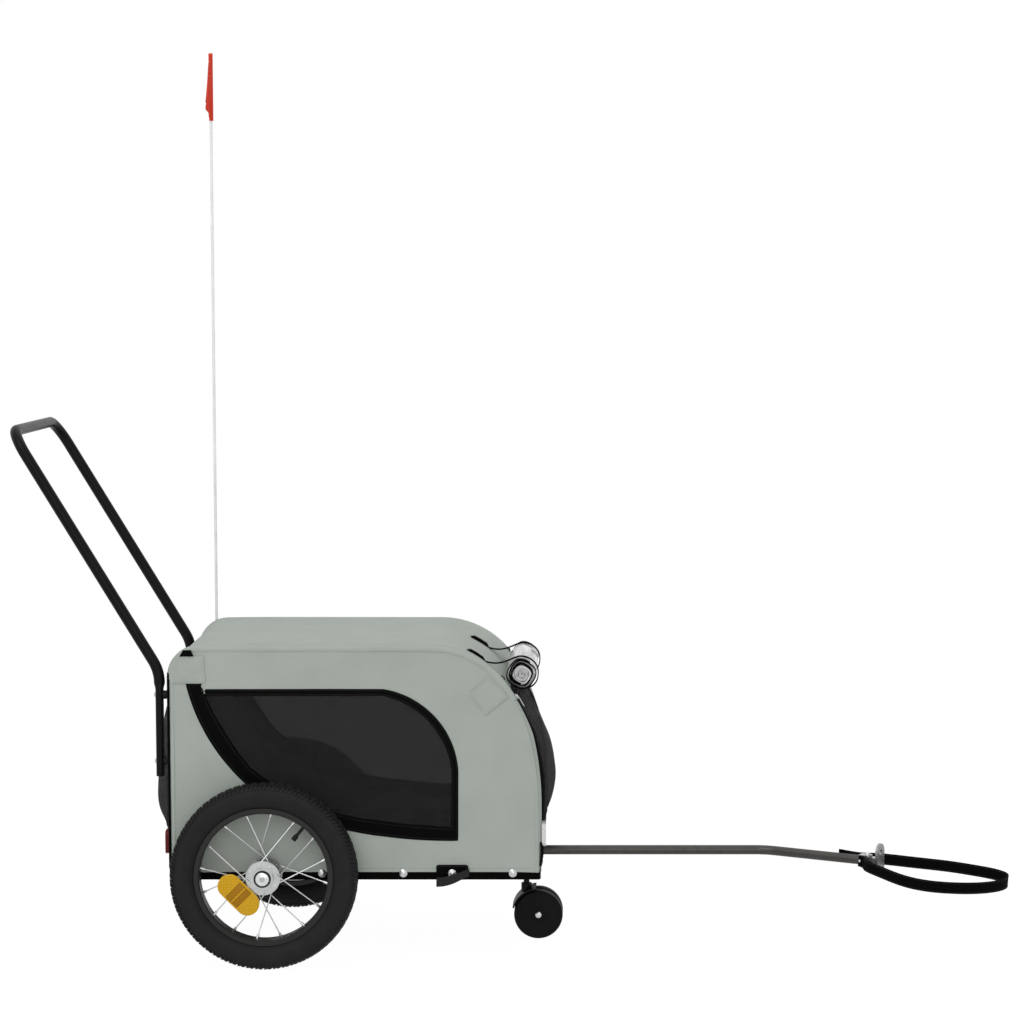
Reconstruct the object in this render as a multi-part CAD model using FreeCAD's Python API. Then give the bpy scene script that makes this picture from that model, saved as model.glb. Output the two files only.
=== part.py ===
"""Pet bike trailer: steel frame, fabric cabin, two spoked wheels, front caster and drawbar.

Millimetres, +Z up, +X is the way the trailer travels, +Y is its left side.
Everything is laid out from the wheel axle line (x = 0), the middle plane (y = 0)
and the ground (z = 0). The last step moves it along X, so that the origin lies
on the ground under the middle of the whole trailer.
"""
import FreeCAD, Part
import math
import os

# Wheels
wheel_radius = 152.5
wheel_track = 470.0
tyre_width = 45.0
tyre_wall = 3.5
tread_wall = 5.0
rim_flange_radius = 113.0
rim_inner_radius = 104.0
rim_width = 27.0
rim_wall = 1.6
tube_wall = 1.5
air_share = 0.86
valve_radius = 2.6
valve_length = 28.0
valve_cap_radius = 4.2
valve_cap_length = 9.0
valve_angle = 51.0
hub_flange_radius = 28.0
hub_flange_wall = 3.0
hub_flange_offset = 18.0
hub_barrel_radius = 17.0
hub_half_length = 27.3
axle_radius = 6.0
axle_insert = 55.0
bearing_radius = 14.0
bearing_width = 8.0
spoke_count = 16
spoke_radius = 1.0
spoke_circle_radius = 23.0
spoke_lace_angle = 45.0
spoke_elbow_radius = 1.2
spoke_head_radius = 1.9
spoke_head_height = 1.0
spoke_first_angle = 105.5
nipple_radius = 2.1
nipple_length = 8.0
axle_head_radius = 12.6
axle_head_wall = 2.2
button_radius = 4.5
button_stem_radius = 2.5
button_length = 5.0
button_proud = 2.2
button_travel = 2.0
button_stem_length = 60.0
reflector_length = 79.0
reflector_width = 39.0
reflector_depth = 6.5
reflector_out = 47.0
reflector_angle = 214.0
reflector_tilt = -45.0

# Cabin
cabin_rear = -156.0
cabin_front = 448.0
cabin_half_width = 200.0
cabin_bottom = 151.0
cabin_top = 523.5
rear_corner_radius = 48.0
nose_turns = (50.0, 77.0, 90.0)
nose_radius_shares = (0.403, 0.644, 1.342)
panel_wall = 2.0
roof_sag = 18.0
door_top_turn = 60.0
door_seam_turn = 0.4
door_side_strip = 40.0
door_bottom = 203.0
door_bulge = 24.0
rear_door_bottom = 192.0
rear_door_top = 470.0
rear_door_bulge = 40.0
mesh_wall = 1.0
window_lap = 4.0
binding_wall = 1.2
patch_wall = 1.0

# Frame
rail_width = 20.0
rail_height = 25.0
rail_bottom = 139.0
rail_wall = 1.5
rail_rear = -154.0
rail_front = 446.0
axle_tube_radius = 11.0
bow_radius = 8.0
bow_wall = 1.2
bow_side_inset = 10.0
bow_inset = 2.5
cross_bar_radius = 6.0
floor_wall = 4.0
pad_height = 22.0
pad_margin = 10.0

# Handle
handle_radius = 9.0
handle_wall = 1.4
handle_flat_depth = 12.0
handle_flat_width = 22.0
handle_x = -172.6
handle_foot = 310.0
handle_bend = 482.0
handle_taper = 11.0
handle_straight = 20.0
handle_bar_x = -407.0
handle_bar_z = 872.0
handle_bend_radius = 70.0
handle_corner_radius = 45.0
handle_bolt_heights = (334.0, 443.0)
bolt_radius = 3.0
bolt_head_radius = 5.2
bolt_head_height = 3.4
nut_height = 5.0
spacer_radius = 7.0

# Small parts on the cabin
reflector_tall = 38.0
reflector_wide = 34.0
reflector_thick = 7.0
front_reflector_z = 212.0
rear_reflector_z = 200.0
rail_screw_places = (91.0, 224.0, 403.0)
rail_screw_z = 150.0
screw_head_radius = 6.6
screw_head_height = 2.6
screw_radius = 2.5
screw_length = 8.0
tab_x = 304.0
tab_z = 149.0
tab_base_length = 52.0
tab_base_height = 30.0
tab_webbing = 16.0
tab_reach = 12.0
tab_tongue_shares = ((0.6, 0.8), (-0.2, 1.0), (-1.0, 0.9))
roll_turn = 54.2
roll_settle = 4.75
roll_radius = 24.5
roll_side_margin = 78.0
roll_sheet = 1.0
roll_core = 3.0
roll_turns = 4
tie_inset = 30.0
tie_width = 8.0
tie_wall = 1.4
tie_root_shares = (0.3, 0.78)
tie_wrap_angles = (150.0, -60.0)
flag_x = -129.5
flag_stand_off = 5.0
flag_top = 1510.0
flag_height = 117.0
flag_reach = 150.0
flag_wave = 5.0
flag_wave_shares = (0.0, 0.6, -0.5, 0.9, -0.4, 0.8, 0.2)
flag_tip_share = 0.3
flag_wall = 1.0
pole_radius = 2.5
holder_radius = 4.0
holder_bottom = 250.0
holder_length = 170.0

# Drawbar and hitch
drawbar_radius = 8.0
drawbar_wall = 1.6
drawbar_z = 149.0
drawbar_inner_end = 335.0
drawbar_bend_x = 829.0
drawbar_bend_radius = 70.0
drawbar_end_x = 983.0
drawbar_turn = 29.2
receiver_radius = 10.0
receiver_start = 330.0
lock_pin_radius = 3.0
lock_pin_x = 380.0
lock_pin_reach = 13.0
lock_pin_knob_radius = 8.0
lock_pin_knob_length = 10.0
yoke_width = 16.0
yoke_wall = 3.0
yoke_gap = 14.0
yoke_cap = 6.0
plug_length = 22.0
swivel_half_width = 6.0
yaw_pin_along = 13.0
pitch_pin_along = 25.5
hitch_pin_radius = 3.0
hitch_plate_gap = 0.5
hitch_plate_wall = 4.0
hitch_plate_half_width = 15.0
hitch_plate_bottom = 135.0
hitch_hole_z = 165.0
hitch_hole_radius = 5.2
lug_wall = 3.0
strap_height = 19.0
strap_wall = 2.0
strap_droop = 18.0
strap_reach = 250.0
strap_flank = 44.0
far_rivet_along = -32.0
near_rivet_along = 2.7
rivet_radius = 1.6
rivet_length = 5.0
rivet_head_radius = 2.3
rivet_head_height = 1.2

# Caster
caster_x = 421.5
caster_trail = 20.5
caster_radius = 41.5
caster_wheel_width = 20.5
caster_wheel_gap = 4.6
caster_stem_radius = 5.0
caster_stem_top = 135.0
caster_boss_radius = 9.0
caster_boss_top = 92.0
caster_socket_bottom = 108.0
caster_hood_gap = 1.5
caster_hood_wall = 2.6
caster_hood_angles = (95.0, 165.0)
caster_web_half = 4.0
caster_axle_radius = 4.0
caster_axle_head_radius = 5.2
caster_axle_head_height = 1.8
caster_plate_wall = 3.0
caster_plate_half_width = 30.0

# Clearances
fit = 0.05
seat_gap = 0.3
overrun = 5.0

# Places that follow from the sizes above
wheel_y = wheel_track / 2
panel_outer = cabin_half_width + panel_wall
door_half_width = cabin_half_width - door_side_strip
bow_half_spacing = cabin_half_width - bow_side_inset
roll_half_length = cabin_half_width - roll_side_margin
tie_half_spacing = roll_half_length - tie_inset
flag_y = panel_outer + flag_stand_off
hitch_plate_along = pitch_pin_along + yoke_gap / 2 + hitch_plate_gap
roof_seat = 2 * seat_gap
rail_outer = cabin_half_width - seat_gap
rail_inner = rail_outer - rail_width
rail_top = rail_bottom + rail_height
axle_tube_half = wheel_y - hub_half_length - seat_gap
floor_z = rail_top
pad_z = floor_z + floor_wall + seat_gap
bow_offset = -(bow_radius + bow_inset)
crown_radius = wheel_radius
strap_end_half = drawbar_radius + seat_gap + strap_wall / 2
rear_reach = handle_bar_x - handle_radius
drawbar_end_y = -(drawbar_end_x - drawbar_bend_x) * math.tan(math.radians(drawbar_turn))
cabin_height = cabin_top - cabin_bottom
cabin_length = cabin_front - cabin_rear


def vec(x=0.0, y=0.0, z=0.0):
    return FreeCAD.Vector(x, y, z)


AXIS_X = vec(1, 0, 0)
AXIS_Y = vec(0, 1, 0)
AXIS_Z = vec(0, 0, 1)


def block(x0, x1, y0, y1, z0, z1):
    """A box between two opposite corners."""
    low = vec(min(x0, x1), min(y0, y1), min(z0, z1))
    return Part.makeBox(abs(x1 - x0), abs(y1 - y0), abs(z1 - z0), low)


def rod(start, axis, radius, length):
    return Part.makeCylinder(radius, length, start, axis)


def pipe_stub(start, axis, outer, inner, length):
    """A straight piece of round tube."""
    back = start - axis * overrun
    return rod(start, axis, outer, length).cut(rod(back, axis, inner, length + 2 * overrun))


def arc(p, q, r):
    return Part.Arc(p, q, r).toShape()


def line(p, q):
    return Part.LineSegment(p, q).toShape()


def face(edges):
    return Part.Face(Part.Wire(Part.__sortEdges__(edges)))


def outline(points):
    """Straight closed outline through the points."""
    return Part.Face(Part.makePolygon(list(points) + [points[0]]))


def rounded_path(points, radii):
    """Wire of straight runs through the points, with a tangent arc at each inner point."""
    edges = []
    last = points[0]
    for before, corner, after, radius in zip(points, points[1:], points[2:], radii):
        back = (before - corner).normalize()
        ahead = (after - corner).normalize()
        half = back.getAngle(ahead) / 2
        reach = radius / math.tan(half)
        start = corner + back * reach
        end = corner + ahead * reach
        inward = (back + ahead).normalize()
        middle = corner + inward * (radius / math.sin(half) - radius)
        edges.append(line(last, start))
        edges.append(arc(start, middle, end))
        last = end
    edges.append(line(last, points[-1]))
    return Part.Wire(edges)


def swept(path, profile):
    """Solid swept by a closed section along a wire."""
    return path.makePipeShell([profile], True, False)


def circle_at(centre, axis, radius):
    return Part.Wire(Part.makeCircle(radius, centre, axis))


def swept_tube(path, start, axis, outer, inner):
    """Hollow round tube along a wire."""
    body = swept(path, circle_at(start, axis, outer))
    return body.cut(swept(path, circle_at(start, axis, inner)))


def ribbon(points, wall, start_height, rise):
    """Flat band on edge: a curve through plan points, thickened both ways and raised."""
    curve = Part.BSplineCurve()
    curve.interpolate([vec(x, y, start_height) for x, y in points])
    first, last = curve.FirstParameter, curve.LastParameter
    steps = 4 * len(points)
    left, right = [], []
    for step in range(steps + 1):
        place = first + (last - first) * step / steps
        tangent = curve.tangent(place)[0]
        side = vec(-tangent.y, tangent.x, 0).normalize() * (wall / 2)
        left.append(curve.value(place) + side)
        right.append(curve.value(place) - side)
    one, other = Part.BSplineCurve(), Part.BSplineCurve()
    one.interpolate(left)
    other.interpolate(right)
    edges = [one.toShape(), other.toShape(), line(left[0], right[0]), line(left[-1], right[-1])]
    return face(edges).extrude(AXIS_Z * rise)


def turned(points, centre, axis):
    """Solid of revolution from a closed outline."""
    return outline(points).revolve(centre, axis, 360)


def other_side(shape):
    return shape.mirror(vec(), AXIS_Y)


def on_both_sides(shape):
    return [shape, other_side(shape)]


# Cabin profile: rear line, rear corner, roof, three tangent nose arcs, front line
nose_radii = [share * cabin_height for share in nose_radius_shares]


def sine(degrees):
    return math.sin(math.radians(degrees))


def cosine(degrees):
    return math.cos(math.radians(degrees))


def nose_run():
    """How far the nose arcs go forwards, which fixes where the roof line ends."""
    total, before = 0.0, 0.0
    for radius, turn in zip(nose_radii, nose_turns):
        total += radius * (sine(turn) - sine(before))
        before = turn
    return total


def nose_centres():
    centres = [(cabin_front - nose_run(), cabin_top - nose_radii[0])]
    for index in range(1, len(nose_radii)):
        gain = nose_radii[index - 1] - nose_radii[index]
        turn = nose_turns[index - 1]
        x, z = centres[-1]
        centres.append((x + gain * sine(turn), z + gain * cosine(turn)))
    return centres


nose_middles = nose_centres()
nose_start = nose_middles[0][0]
nose_end_z = nose_middles[-1][1]


def nose_point(turn, offset, y=0.0):
    """Point of the nose where its tangent has turned by so many degrees."""
    index = 0
    while turn > nose_turns[index]:
        index += 1
    x, z = nose_middles[index]
    reach = nose_radii[index] + offset
    return vec(x + reach * sine(turn), y, z + reach * cosine(turn))


def nose_edges(offset, start, stop, y=0.0):
    """Nose arcs between two turns of the tangent."""
    edges, before = [], start
    for turn in nose_turns:
        if turn <= before:
            continue
        end = min(turn, stop)
        middle = nose_point((before + end) / 2, offset, y)
        edges.append(arc(nose_point(before, offset, y), middle, nose_point(end, offset, y)))
        before = end
        if end == stop:
            break
    return edges


def profile_wire(offset, bottom, y=0.0):
    """Open side profile of the cabin, from the rear foot over the roof to the front foot."""
    corner = rear_corner_radius + offset
    centre = vec(cabin_rear + rear_corner_radius, y, cabin_top - rear_corner_radius)
    rear_foot = vec(cabin_rear - offset, y, bottom)
    rear_top = centre - AXIS_X * corner
    diagonal = centre + vec(-corner * sine(45), 0, corner * cosine(45))
    roof_rear = centre + AXIS_Z * corner
    roof_front = nose_point(0, offset, y)
    front_top = nose_point(nose_turns[-1], offset, y)
    front_foot = vec(cabin_front + offset, y, bottom)
    edges = [line(rear_foot, rear_top), arc(rear_top, diagonal, roof_rear)]
    edges.append(line(roof_rear, roof_front))
    edges += nose_edges(offset, 0.0, nose_turns[-1], y)
    edges.append(line(front_top, front_foot))
    return edges, rear_foot, front_foot


def profile_face(offset, bottom, y):
    edges, rear_foot, front_foot = profile_wire(offset, bottom, y)
    return face(edges + [line(front_foot, rear_foot)])


def profile_band(y0, y1):
    """Skin that follows the whole profile, between two stations across the cabin."""
    outer = profile_face(seat_gap + panel_wall, cabin_bottom, y0).extrude(AXIS_Y * (y1 - y0))
    inner = profile_face(seat_gap, cabin_bottom - overrun, y0).extrude(AXIS_Y * (y1 - y0))
    return outer.cut(inner)


# Windows: outlines as shares of the cabin's length and height, line by line
window_hem_shares = {
    "top_rear": (0.048, 0.836), "notch": (0.086, 0.836), "step": (0.089, 0.809),
    "top_front": (0.578, 0.809), "bend": (0.712, 0.694), "side_top": (0.777, 0.451),
    "side_foot": (0.776, 0.145), "foot_middle": (0.675, 0.149), "foot_rear": (0.579, 0.164),
    "sweep": (0.385, 0.238), "low_rear": (0.212, 0.387), "rear_bend": (0.116, 0.572),
}
window_net_shares = {
    "top_rear": (0.095, 0.787), "top_front": (0.576, 0.787), "bend": (0.699, 0.676),
    "side_top": (0.764, 0.451), "side_foot": (0.762, 0.199), "foot_middle": (0.654, 0.209),
    "foot_rear": (0.555, 0.228), "sweep": (0.404, 0.285), "low_rear": (0.213, 0.467),
    "rear_bend": (0.148, 0.618),
}

def share_point(shares, y):
    along, up = shares
    return vec(cabin_rear + along * cabin_length, y, cabin_bottom + up * cabin_height)


def window_face(shares, y):
    p = {name: share_point(value, y) for name, value in shares.items()}
    edges = [arc(p["top_front"], p["bend"], p["side_top"]), line(p["side_top"], p["side_foot"])]
    edges.append(arc(p["side_foot"], p["foot_middle"], p["foot_rear"]))
    edges.append(arc(p["foot_rear"], p["sweep"], p["low_rear"]))
    edges.append(arc(p["low_rear"], p["rear_bend"], p["top_rear"]))
    if "notch" in p:
        edges.append(line(p["top_rear"], p["notch"]))
        edges.append(line(p["notch"], p["step"]))
        edges.append(line(p["step"], p["top_front"]))
    else:
        edges.append(line(p["top_rear"], p["top_front"]))
    return face(edges)


def window_hole(y, grow):
    return window_face(window_net_shares, y).makeOffset2D(grow, 2)


# Wheels. The near (right) wheel is built at its place and the left one mirrored
wheel_middle = vec(0, -wheel_y, wheel_radius)


def wheel_spot(out, radius, angle):
    """Point by its distance outboard of the wheel's middle, its radius and its angle."""
    return wheel_middle + vec(radius * cosine(angle), -out, radius * sine(angle))


def wheel_ring(pairs):
    """Turned ring from (outboard, radius) pairs."""
    return turned([wheel_spot(out, radius, 90) for out, radius in pairs], wheel_middle, AXIS_Y)


def make_tyre():
    half = tyre_width / 2
    bead = rim_width / 2 - rim_wall - seat_gap
    foot = rim_inner_radius + rim_wall + seat_gap
    belly = (rim_flange_radius + crown_radius) / 2
    shoulder = crown_radius - tread_wall
    shoulder_out = half - tyre_wall - seat_gap

    def spot(out, radius):
        return wheel_spot(out, radius, 90)

    inner_belly, inner_crown = half - tyre_wall, crown_radius - tread_wall
    inner_bead = bead - tyre_wall
    inner_shoulder = shoulder_out - tyre_wall
    edges = [
        line(spot(bead, foot), spot(bead, rim_flange_radius + seat_gap)),
        arc(spot(bead, rim_flange_radius + seat_gap), spot(half, belly), spot(shoulder_out, shoulder)),
        arc(spot(shoulder_out, shoulder), spot(0, crown_radius), spot(-shoulder_out, shoulder)),
        arc(spot(-shoulder_out, shoulder), spot(-half, belly), spot(-bead, rim_flange_radius + seat_gap)),
        line(spot(-bead, rim_flange_radius + seat_gap), spot(-bead, foot)),
        line(spot(-bead, foot), spot(-inner_bead, foot)),
        line(spot(-inner_bead, foot), spot(-inner_bead, rim_flange_radius)),
        arc(spot(-inner_bead, rim_flange_radius), spot(-inner_belly, belly),
            spot(-inner_shoulder, shoulder - tyre_wall)),
        arc(spot(-inner_shoulder, shoulder - tyre_wall), spot(0, inner_crown),
            spot(inner_shoulder, shoulder - tyre_wall)),
        arc(spot(inner_shoulder, shoulder - tyre_wall), spot(inner_belly, belly),
            spot(inner_bead, rim_flange_radius)),
        line(spot(inner_bead, rim_flange_radius), spot(inner_bead, foot)),
        line(spot(inner_bead, foot), spot(bead, foot)),
    ]
    return face(edges).revolve(wheel_middle, AXIS_Y, 360)


air_radius = (tyre_width / 2 - tyre_wall) * air_share
air_middle_radius = crown_radius - tread_wall - seat_gap - air_radius


def make_inner_tube():
    middle = wheel_spot(0, air_middle_radius, 90)
    outer = Part.Face(circle_at(middle, AXIS_X, air_radius))
    inner = Part.Face(circle_at(middle, AXIS_X, air_radius - tube_wall))
    ring = outer.cut(inner).revolve(wheel_middle, AXIS_Y, 360)
    inwards = vec(-cosine(valve_angle), 0, -sine(valve_angle))
    root = wheel_spot(0, air_middle_radius - air_radius + tube_wall / 2, valve_angle)
    stem_length = root.sub(wheel_middle).Length - rim_inner_radius + valve_length
    stem = rod(root, inwards, valve_radius, stem_length)
    cap_start = root + inwards * (stem_length - valve_cap_length)
    return ring.fuse(stem).fuse(rod(cap_start, inwards, valve_cap_radius, valve_cap_length))


def make_rim():
    half = rim_width / 2
    bed = rim_inner_radius + rim_wall
    ring = wheel_ring([
        (half, rim_flange_radius), (half, bed), (half - rim_wall, rim_inner_radius),
        (rim_wall - half, rim_inner_radius), (-half, bed), (-half, rim_flange_radius),
        (rim_wall - half, rim_flange_radius), (rim_wall - half, bed),
        (half - rim_wall, bed), (half - rim_wall, rim_flange_radius),
    ])
    inwards = vec(-cosine(valve_angle), 0, -sine(valve_angle))
    hole_start = wheel_spot(0, rim_flange_radius, valve_angle)
    hole_length = rim_flange_radius - rim_inner_radius + overrun
    ring = ring.cut(rod(hole_start, inwards, valve_radius + fit, hole_length))
    for index in range(spoke_count):
        start, end = spoke_ends(index)
        along = (end - start).normalize()
        ring = ring.cut(rod(end - along * nipple_length, along, nipple_radius + fit, nipple_length + overrun))
    return ring


def make_hub():
    half, barrel, flange = hub_half_length, hub_barrel_radius, hub_flange_radius
    outer, inner = hub_flange_offset + hub_flange_wall / 2, hub_flange_offset - hub_flange_wall / 2
    pocket = half - bearing_width
    pocket_radius = bearing_radius + fit
    waist = axle_radius + hub_flange_wall
    waist_outer = barrel - hub_flange_wall
    hub = wheel_ring([
        (half, barrel), (outer, barrel), (outer, flange), (inner, flange), (inner, waist_outer),
        (-inner, waist_outer), (-inner, flange), (-outer, flange), (-outer, barrel),
        (-half, barrel), (-half, pocket_radius), (-pocket, pocket_radius), (-pocket, waist),
        (pocket, waist), (pocket, pocket_radius), (half, pocket_radius),
    ])
    for index in range(spoke_count):
        side, _, hub_angle, _ = spoke_facts(index)
        start = wheel_spot(side * (hub_flange_offset - hub_flange_wall), spoke_circle_radius, hub_angle)
        hub = hub.cut(rod(start, AXIS_Y * -side, spoke_elbow_radius + fit, 2 * hub_flange_wall))
    return hub


spoke_seat = hub_flange_wall / 2 + spoke_elbow_radius + seat_gap
spoke_rim_end = rim_inner_radius + rim_wall / 2


def spoke_share_at(radius):
    """Share of a spoke, seen from the side, that lies within a distance of the axle."""
    lace = cosine(spoke_lace_angle)
    square = spoke_circle_radius ** 2 + spoke_rim_end ** 2 - 2 * spoke_circle_radius * spoke_rim_end * lace
    length = math.sqrt(square)
    foot = spoke_circle_radius * (spoke_rim_end * lace - spoke_circle_radius) / length
    lever = spoke_circle_radius ** 2 - foot ** 2
    return (math.sqrt(radius ** 2 - lever) - foot) / length


# Outer spokes start far enough out to pass over the flange's edge on their way in to the rim
edge_share = spoke_share_at(hub_flange_radius + spoke_radius)
spoke_outer_out = (hub_flange_offset + spoke_seat - rim_wall * edge_share) / (1 - edge_share)
spoke_inner_out = hub_flange_offset - spoke_seat


def spoke_facts(index):
    """Which flange a spoke is on, which face of it, and its angles at the hub and the rim."""
    side = 1 if index % 2 == 0 else -1
    leading = 1 if index % 4 in (1, 2) else -1
    rim_angle = spoke_first_angle - index * 360 / spoke_count
    return side, leading, rim_angle + leading * spoke_lace_angle, rim_angle


def spoke_ends(index):
    side, leading, hub_angle, rim_angle = spoke_facts(index)
    hub_out = side * (spoke_outer_out if leading > 0 else spoke_inner_out)
    start = wheel_spot(hub_out, spoke_circle_radius, hub_angle)
    return start, wheel_spot(side * rim_wall, spoke_rim_end, rim_angle)


def make_spoke(index):
    """One spoke: nipple at the rim, and an elbow and head through the hub's flange."""
    side, leading, hub_angle, _ = spoke_facts(index)
    start, end = spoke_ends(index)
    along = (end - start).normalize()
    spoke = rod(start, along, spoke_radius, (end - start).Length)
    nipple = rod(end - along * nipple_length, along, nipple_radius, nipple_length)
    head_out = side * (hub_flange_offset - leading * (hub_flange_wall / 2 + seat_gap / 3))
    head_start = wheel_spot(head_out, spoke_circle_radius, hub_angle)
    inwards = (head_start - start).normalize()
    elbow_start = start - inwards * spoke_elbow_radius
    elbow = rod(elbow_start, inwards, spoke_elbow_radius, (head_start - elbow_start).Length)
    head = rod(head_start, inwards, spoke_head_radius, spoke_head_height)
    return spoke.fuse(nipple).fuse(elbow).fuse(head)


def make_spokes():
    return [make_spoke(index) for index in range(spoke_count)]


def make_wheel_reflector():
    """Capsule on the outermost spokes behind it, with its long side across the wheel's radius."""
    middle = wheel_spot(0, reflector_out, reflector_angle)
    straight = (reflector_length - reflector_width) / 2
    along = vec(cosine(reflector_tilt), 0, sine(reflector_tilt))
    across = vec(-along.z, 0, along.x)
    half = reflector_width / 2
    one, other = middle + along * straight, middle - along * straight
    edges = [
        line(other + across * half, one + across * half),
        arc(one + across * half, one + along * half, one - across * half),
        line(one - across * half, other - across * half),
        arc(other - across * half, other - along * half, other + across * half),
    ]
    outline = face(edges)
    spoke_lines = Part.makeCompound([line(*spoke_ends(index)) for index in range(spoke_count)])
    behind = outline.extrude(AXIS_Y * -spoke_outer_out).common(spoke_lines)
    seat = middle.y - behind.BoundBox.YMin + spoke_radius + seat_gap
    outline.translate(AXIS_Y * -seat)
    return outline.extrude(AXIS_Y * -reflector_depth)


def make_axle():
    """Quick-release axle: rod, outboard head and the bore that the button works in."""
    head_inner = -(wheel_y + hub_half_length + seat_gap)
    head_outer = head_inner - axle_head_wall
    inner_end = -(wheel_y - hub_half_length - seat_gap - axle_insert)
    shaft = rod(vec(0, inner_end, wheel_radius), -AXIS_Y, axle_radius, inner_end - head_inner)
    head = rod(vec(0, head_inner, wheel_radius), -AXIS_Y, axle_head_radius, axle_head_wall)
    mouth = vec(0, head_outer - overrun, wheel_radius)
    pocket_depth = button_length - button_proud + button_travel + seat_gap
    pocket = rod(mouth, AXIS_Y, button_radius + fit, overrun + pocket_depth)
    bore = rod(mouth, AXIS_Y, button_stem_radius + fit, overrun + pocket_depth + button_stem_length)
    return shaft.fuse(head).cut(pocket).cut(bore)


def make_button():
    head_outer = -(wheel_y + hub_half_length + seat_gap + axle_head_wall)
    tip = vec(0, head_outer - button_proud, wheel_radius)
    head = rod(tip, AXIS_Y, button_radius, button_length)
    return head.fuse(rod(tip, AXIS_Y, button_stem_radius, button_stem_length))


def make_bearings():
    """Two ball bearings for one wheel, each as one ring."""
    rings = []
    for side in (1, -1):
        near = side * (hub_half_length - seat_gap - bearing_width / 2)
        start = wheel_spot(near - bearing_width / 2 + seat_gap, 0, 0)
        width = bearing_width - 2 * seat_gap
        rings.append(pipe_stub(start, -AXIS_Y, bearing_radius, axle_radius + fit, width))
    return rings


# Frame
def make_rail():
    """Near (right) side rail with the cross hole for the axle tube and the screw holes."""
    outer = block(rail_rear, rail_front, -rail_outer, -rail_inner, rail_bottom, rail_top)
    inner = block(rail_rear - overrun, rail_front + overrun, -rail_outer + rail_wall,
                  -rail_inner - rail_wall, rail_bottom + rail_wall, rail_top - rail_wall)
    rail = outer.cut(inner)
    cross = vec(0, -rail_outer - overrun, wheel_radius)
    rail = rail.cut(rod(cross, AXIS_Y, axle_tube_radius + fit, rail_width + 2 * overrun))
    for x in rail_screw_places + (tab_x,):
        start = vec(x, -rail_outer - overrun, rail_screw_z)
        rail = rail.cut(rod(start, AXIS_Y, screw_radius + fit, overrun + 2 * rail_wall))
    return rail


def cross_tube(x0, x1):
    outer = block(x0, x1, -rail_inner, rail_inner, rail_bottom, rail_top)
    inner = block(x0 + rail_wall, x1 - rail_wall, -rail_inner - overrun, rail_inner + overrun,
                  rail_bottom + rail_wall, rail_top - rail_wall)
    return outer.cut(inner)


def make_cross_tubes():
    front = cross_tube(rail_front - rail_width, rail_front)
    saddle = rod(vec(rail_front - rail_width - overrun, 0, drawbar_z), AXIS_X,
                 receiver_radius + fit, rail_width + 2 * overrun)
    return [cross_tube(rail_rear, rail_rear + rail_width), front.cut(saddle)]


def make_axle_tube():
    start = vec(0, -axle_tube_half, wheel_radius)
    return pipe_stub(start, AXIS_Y, axle_tube_radius, axle_radius + fit, 2 * axle_tube_half)


def make_bow():
    """Arch of one side: up the rear, along the roof, down the nose to the front of the rail."""
    edges, rear_foot, front_foot = profile_wire(bow_offset, rail_top, -bow_half_spacing)
    path = Part.Wire(edges)
    bow = swept_tube(path, rear_foot, AXIS_Z, bow_radius, bow_radius - bow_wall)
    for z in handle_bolt_heights:
        start = vec(cabin_rear - overrun, -bow_half_spacing, z)
        bow = bow.cut(rod(start, AXIS_X, bolt_radius + fit, 2 * bow_radius + bow_inset + 2 * overrun))
    return bow


def make_cross_bar():
    x = cabin_rear + rear_corner_radius + bow_radius
    half = bow_half_spacing - bow_radius
    return pipe_stub(vec(x, -half, cabin_top + bow_offset), AXIS_Y,
                     cross_bar_radius, cross_bar_radius - bow_wall, 2 * half)


upright_front_face = cabin_rear - bow_offset + bow_radius
upright_rear_face = cabin_front + bow_offset - bow_radius


def make_floor_board():
    return block(upright_front_face + seat_gap, upright_rear_face - seat_gap,
                 -rail_outer, rail_outer, floor_z, floor_z + floor_wall)


def make_floor_pad():
    pad = block(upright_front_face + pad_margin, upright_rear_face - pad_margin,
                -rail_outer + pad_margin, rail_outer - pad_margin, pad_z, pad_z + pad_height)
    upright = [edge for edge in pad.Edges if abs(edge.tangentAt(edge.FirstParameter).z) > 0.9]
    return pad.makeFillet(2 * pad_margin, upright)


# Handle
def flat_section(y, z, shrink):
    """Section of the flattened foot: flat faces across X, round ends across Y."""
    depth = handle_flat_depth / 2 - shrink
    straight = (handle_flat_width - handle_flat_depth) / 2
    back, front = handle_x - depth, handle_x + depth
    return Part.Wire([
        line(vec(back, y - straight, z), vec(back, y + straight, z)),
        arc(vec(back, y + straight, z), vec(handle_x, y + straight + depth, z), vec(front, y + straight, z)),
        line(vec(front, y + straight, z), vec(front, y - straight, z)),
        arc(vec(front, y - straight, z), vec(handle_x, y - straight - depth, z), vec(back, y - straight, z)),
    ])


def round_section(y, z, radius):
    """Circle in four quarters, one for each side of the flattened section."""
    def spot(angle):
        return vec(handle_x + radius * cosine(angle), y + radius * sine(angle), z)

    return Part.Wire([arc(spot(turn), spot(turn - 45), spot(turn - 90)) for turn in (225, 135, 45, -45)])


handle_round_start = handle_bend - handle_straight


def handle_path():
    y = bow_half_spacing
    points = [
        vec(handle_x, -y, handle_round_start), vec(handle_x, -y, handle_bend),
        vec(handle_bar_x, -y, handle_bar_z), vec(handle_bar_x, y, handle_bar_z),
        vec(handle_x, y, handle_bend), vec(handle_x, y, handle_round_start),
    ]
    radii = [handle_bend_radius, handle_corner_radius, handle_corner_radius, handle_bend_radius]
    return rounded_path(points, radii)


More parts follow.
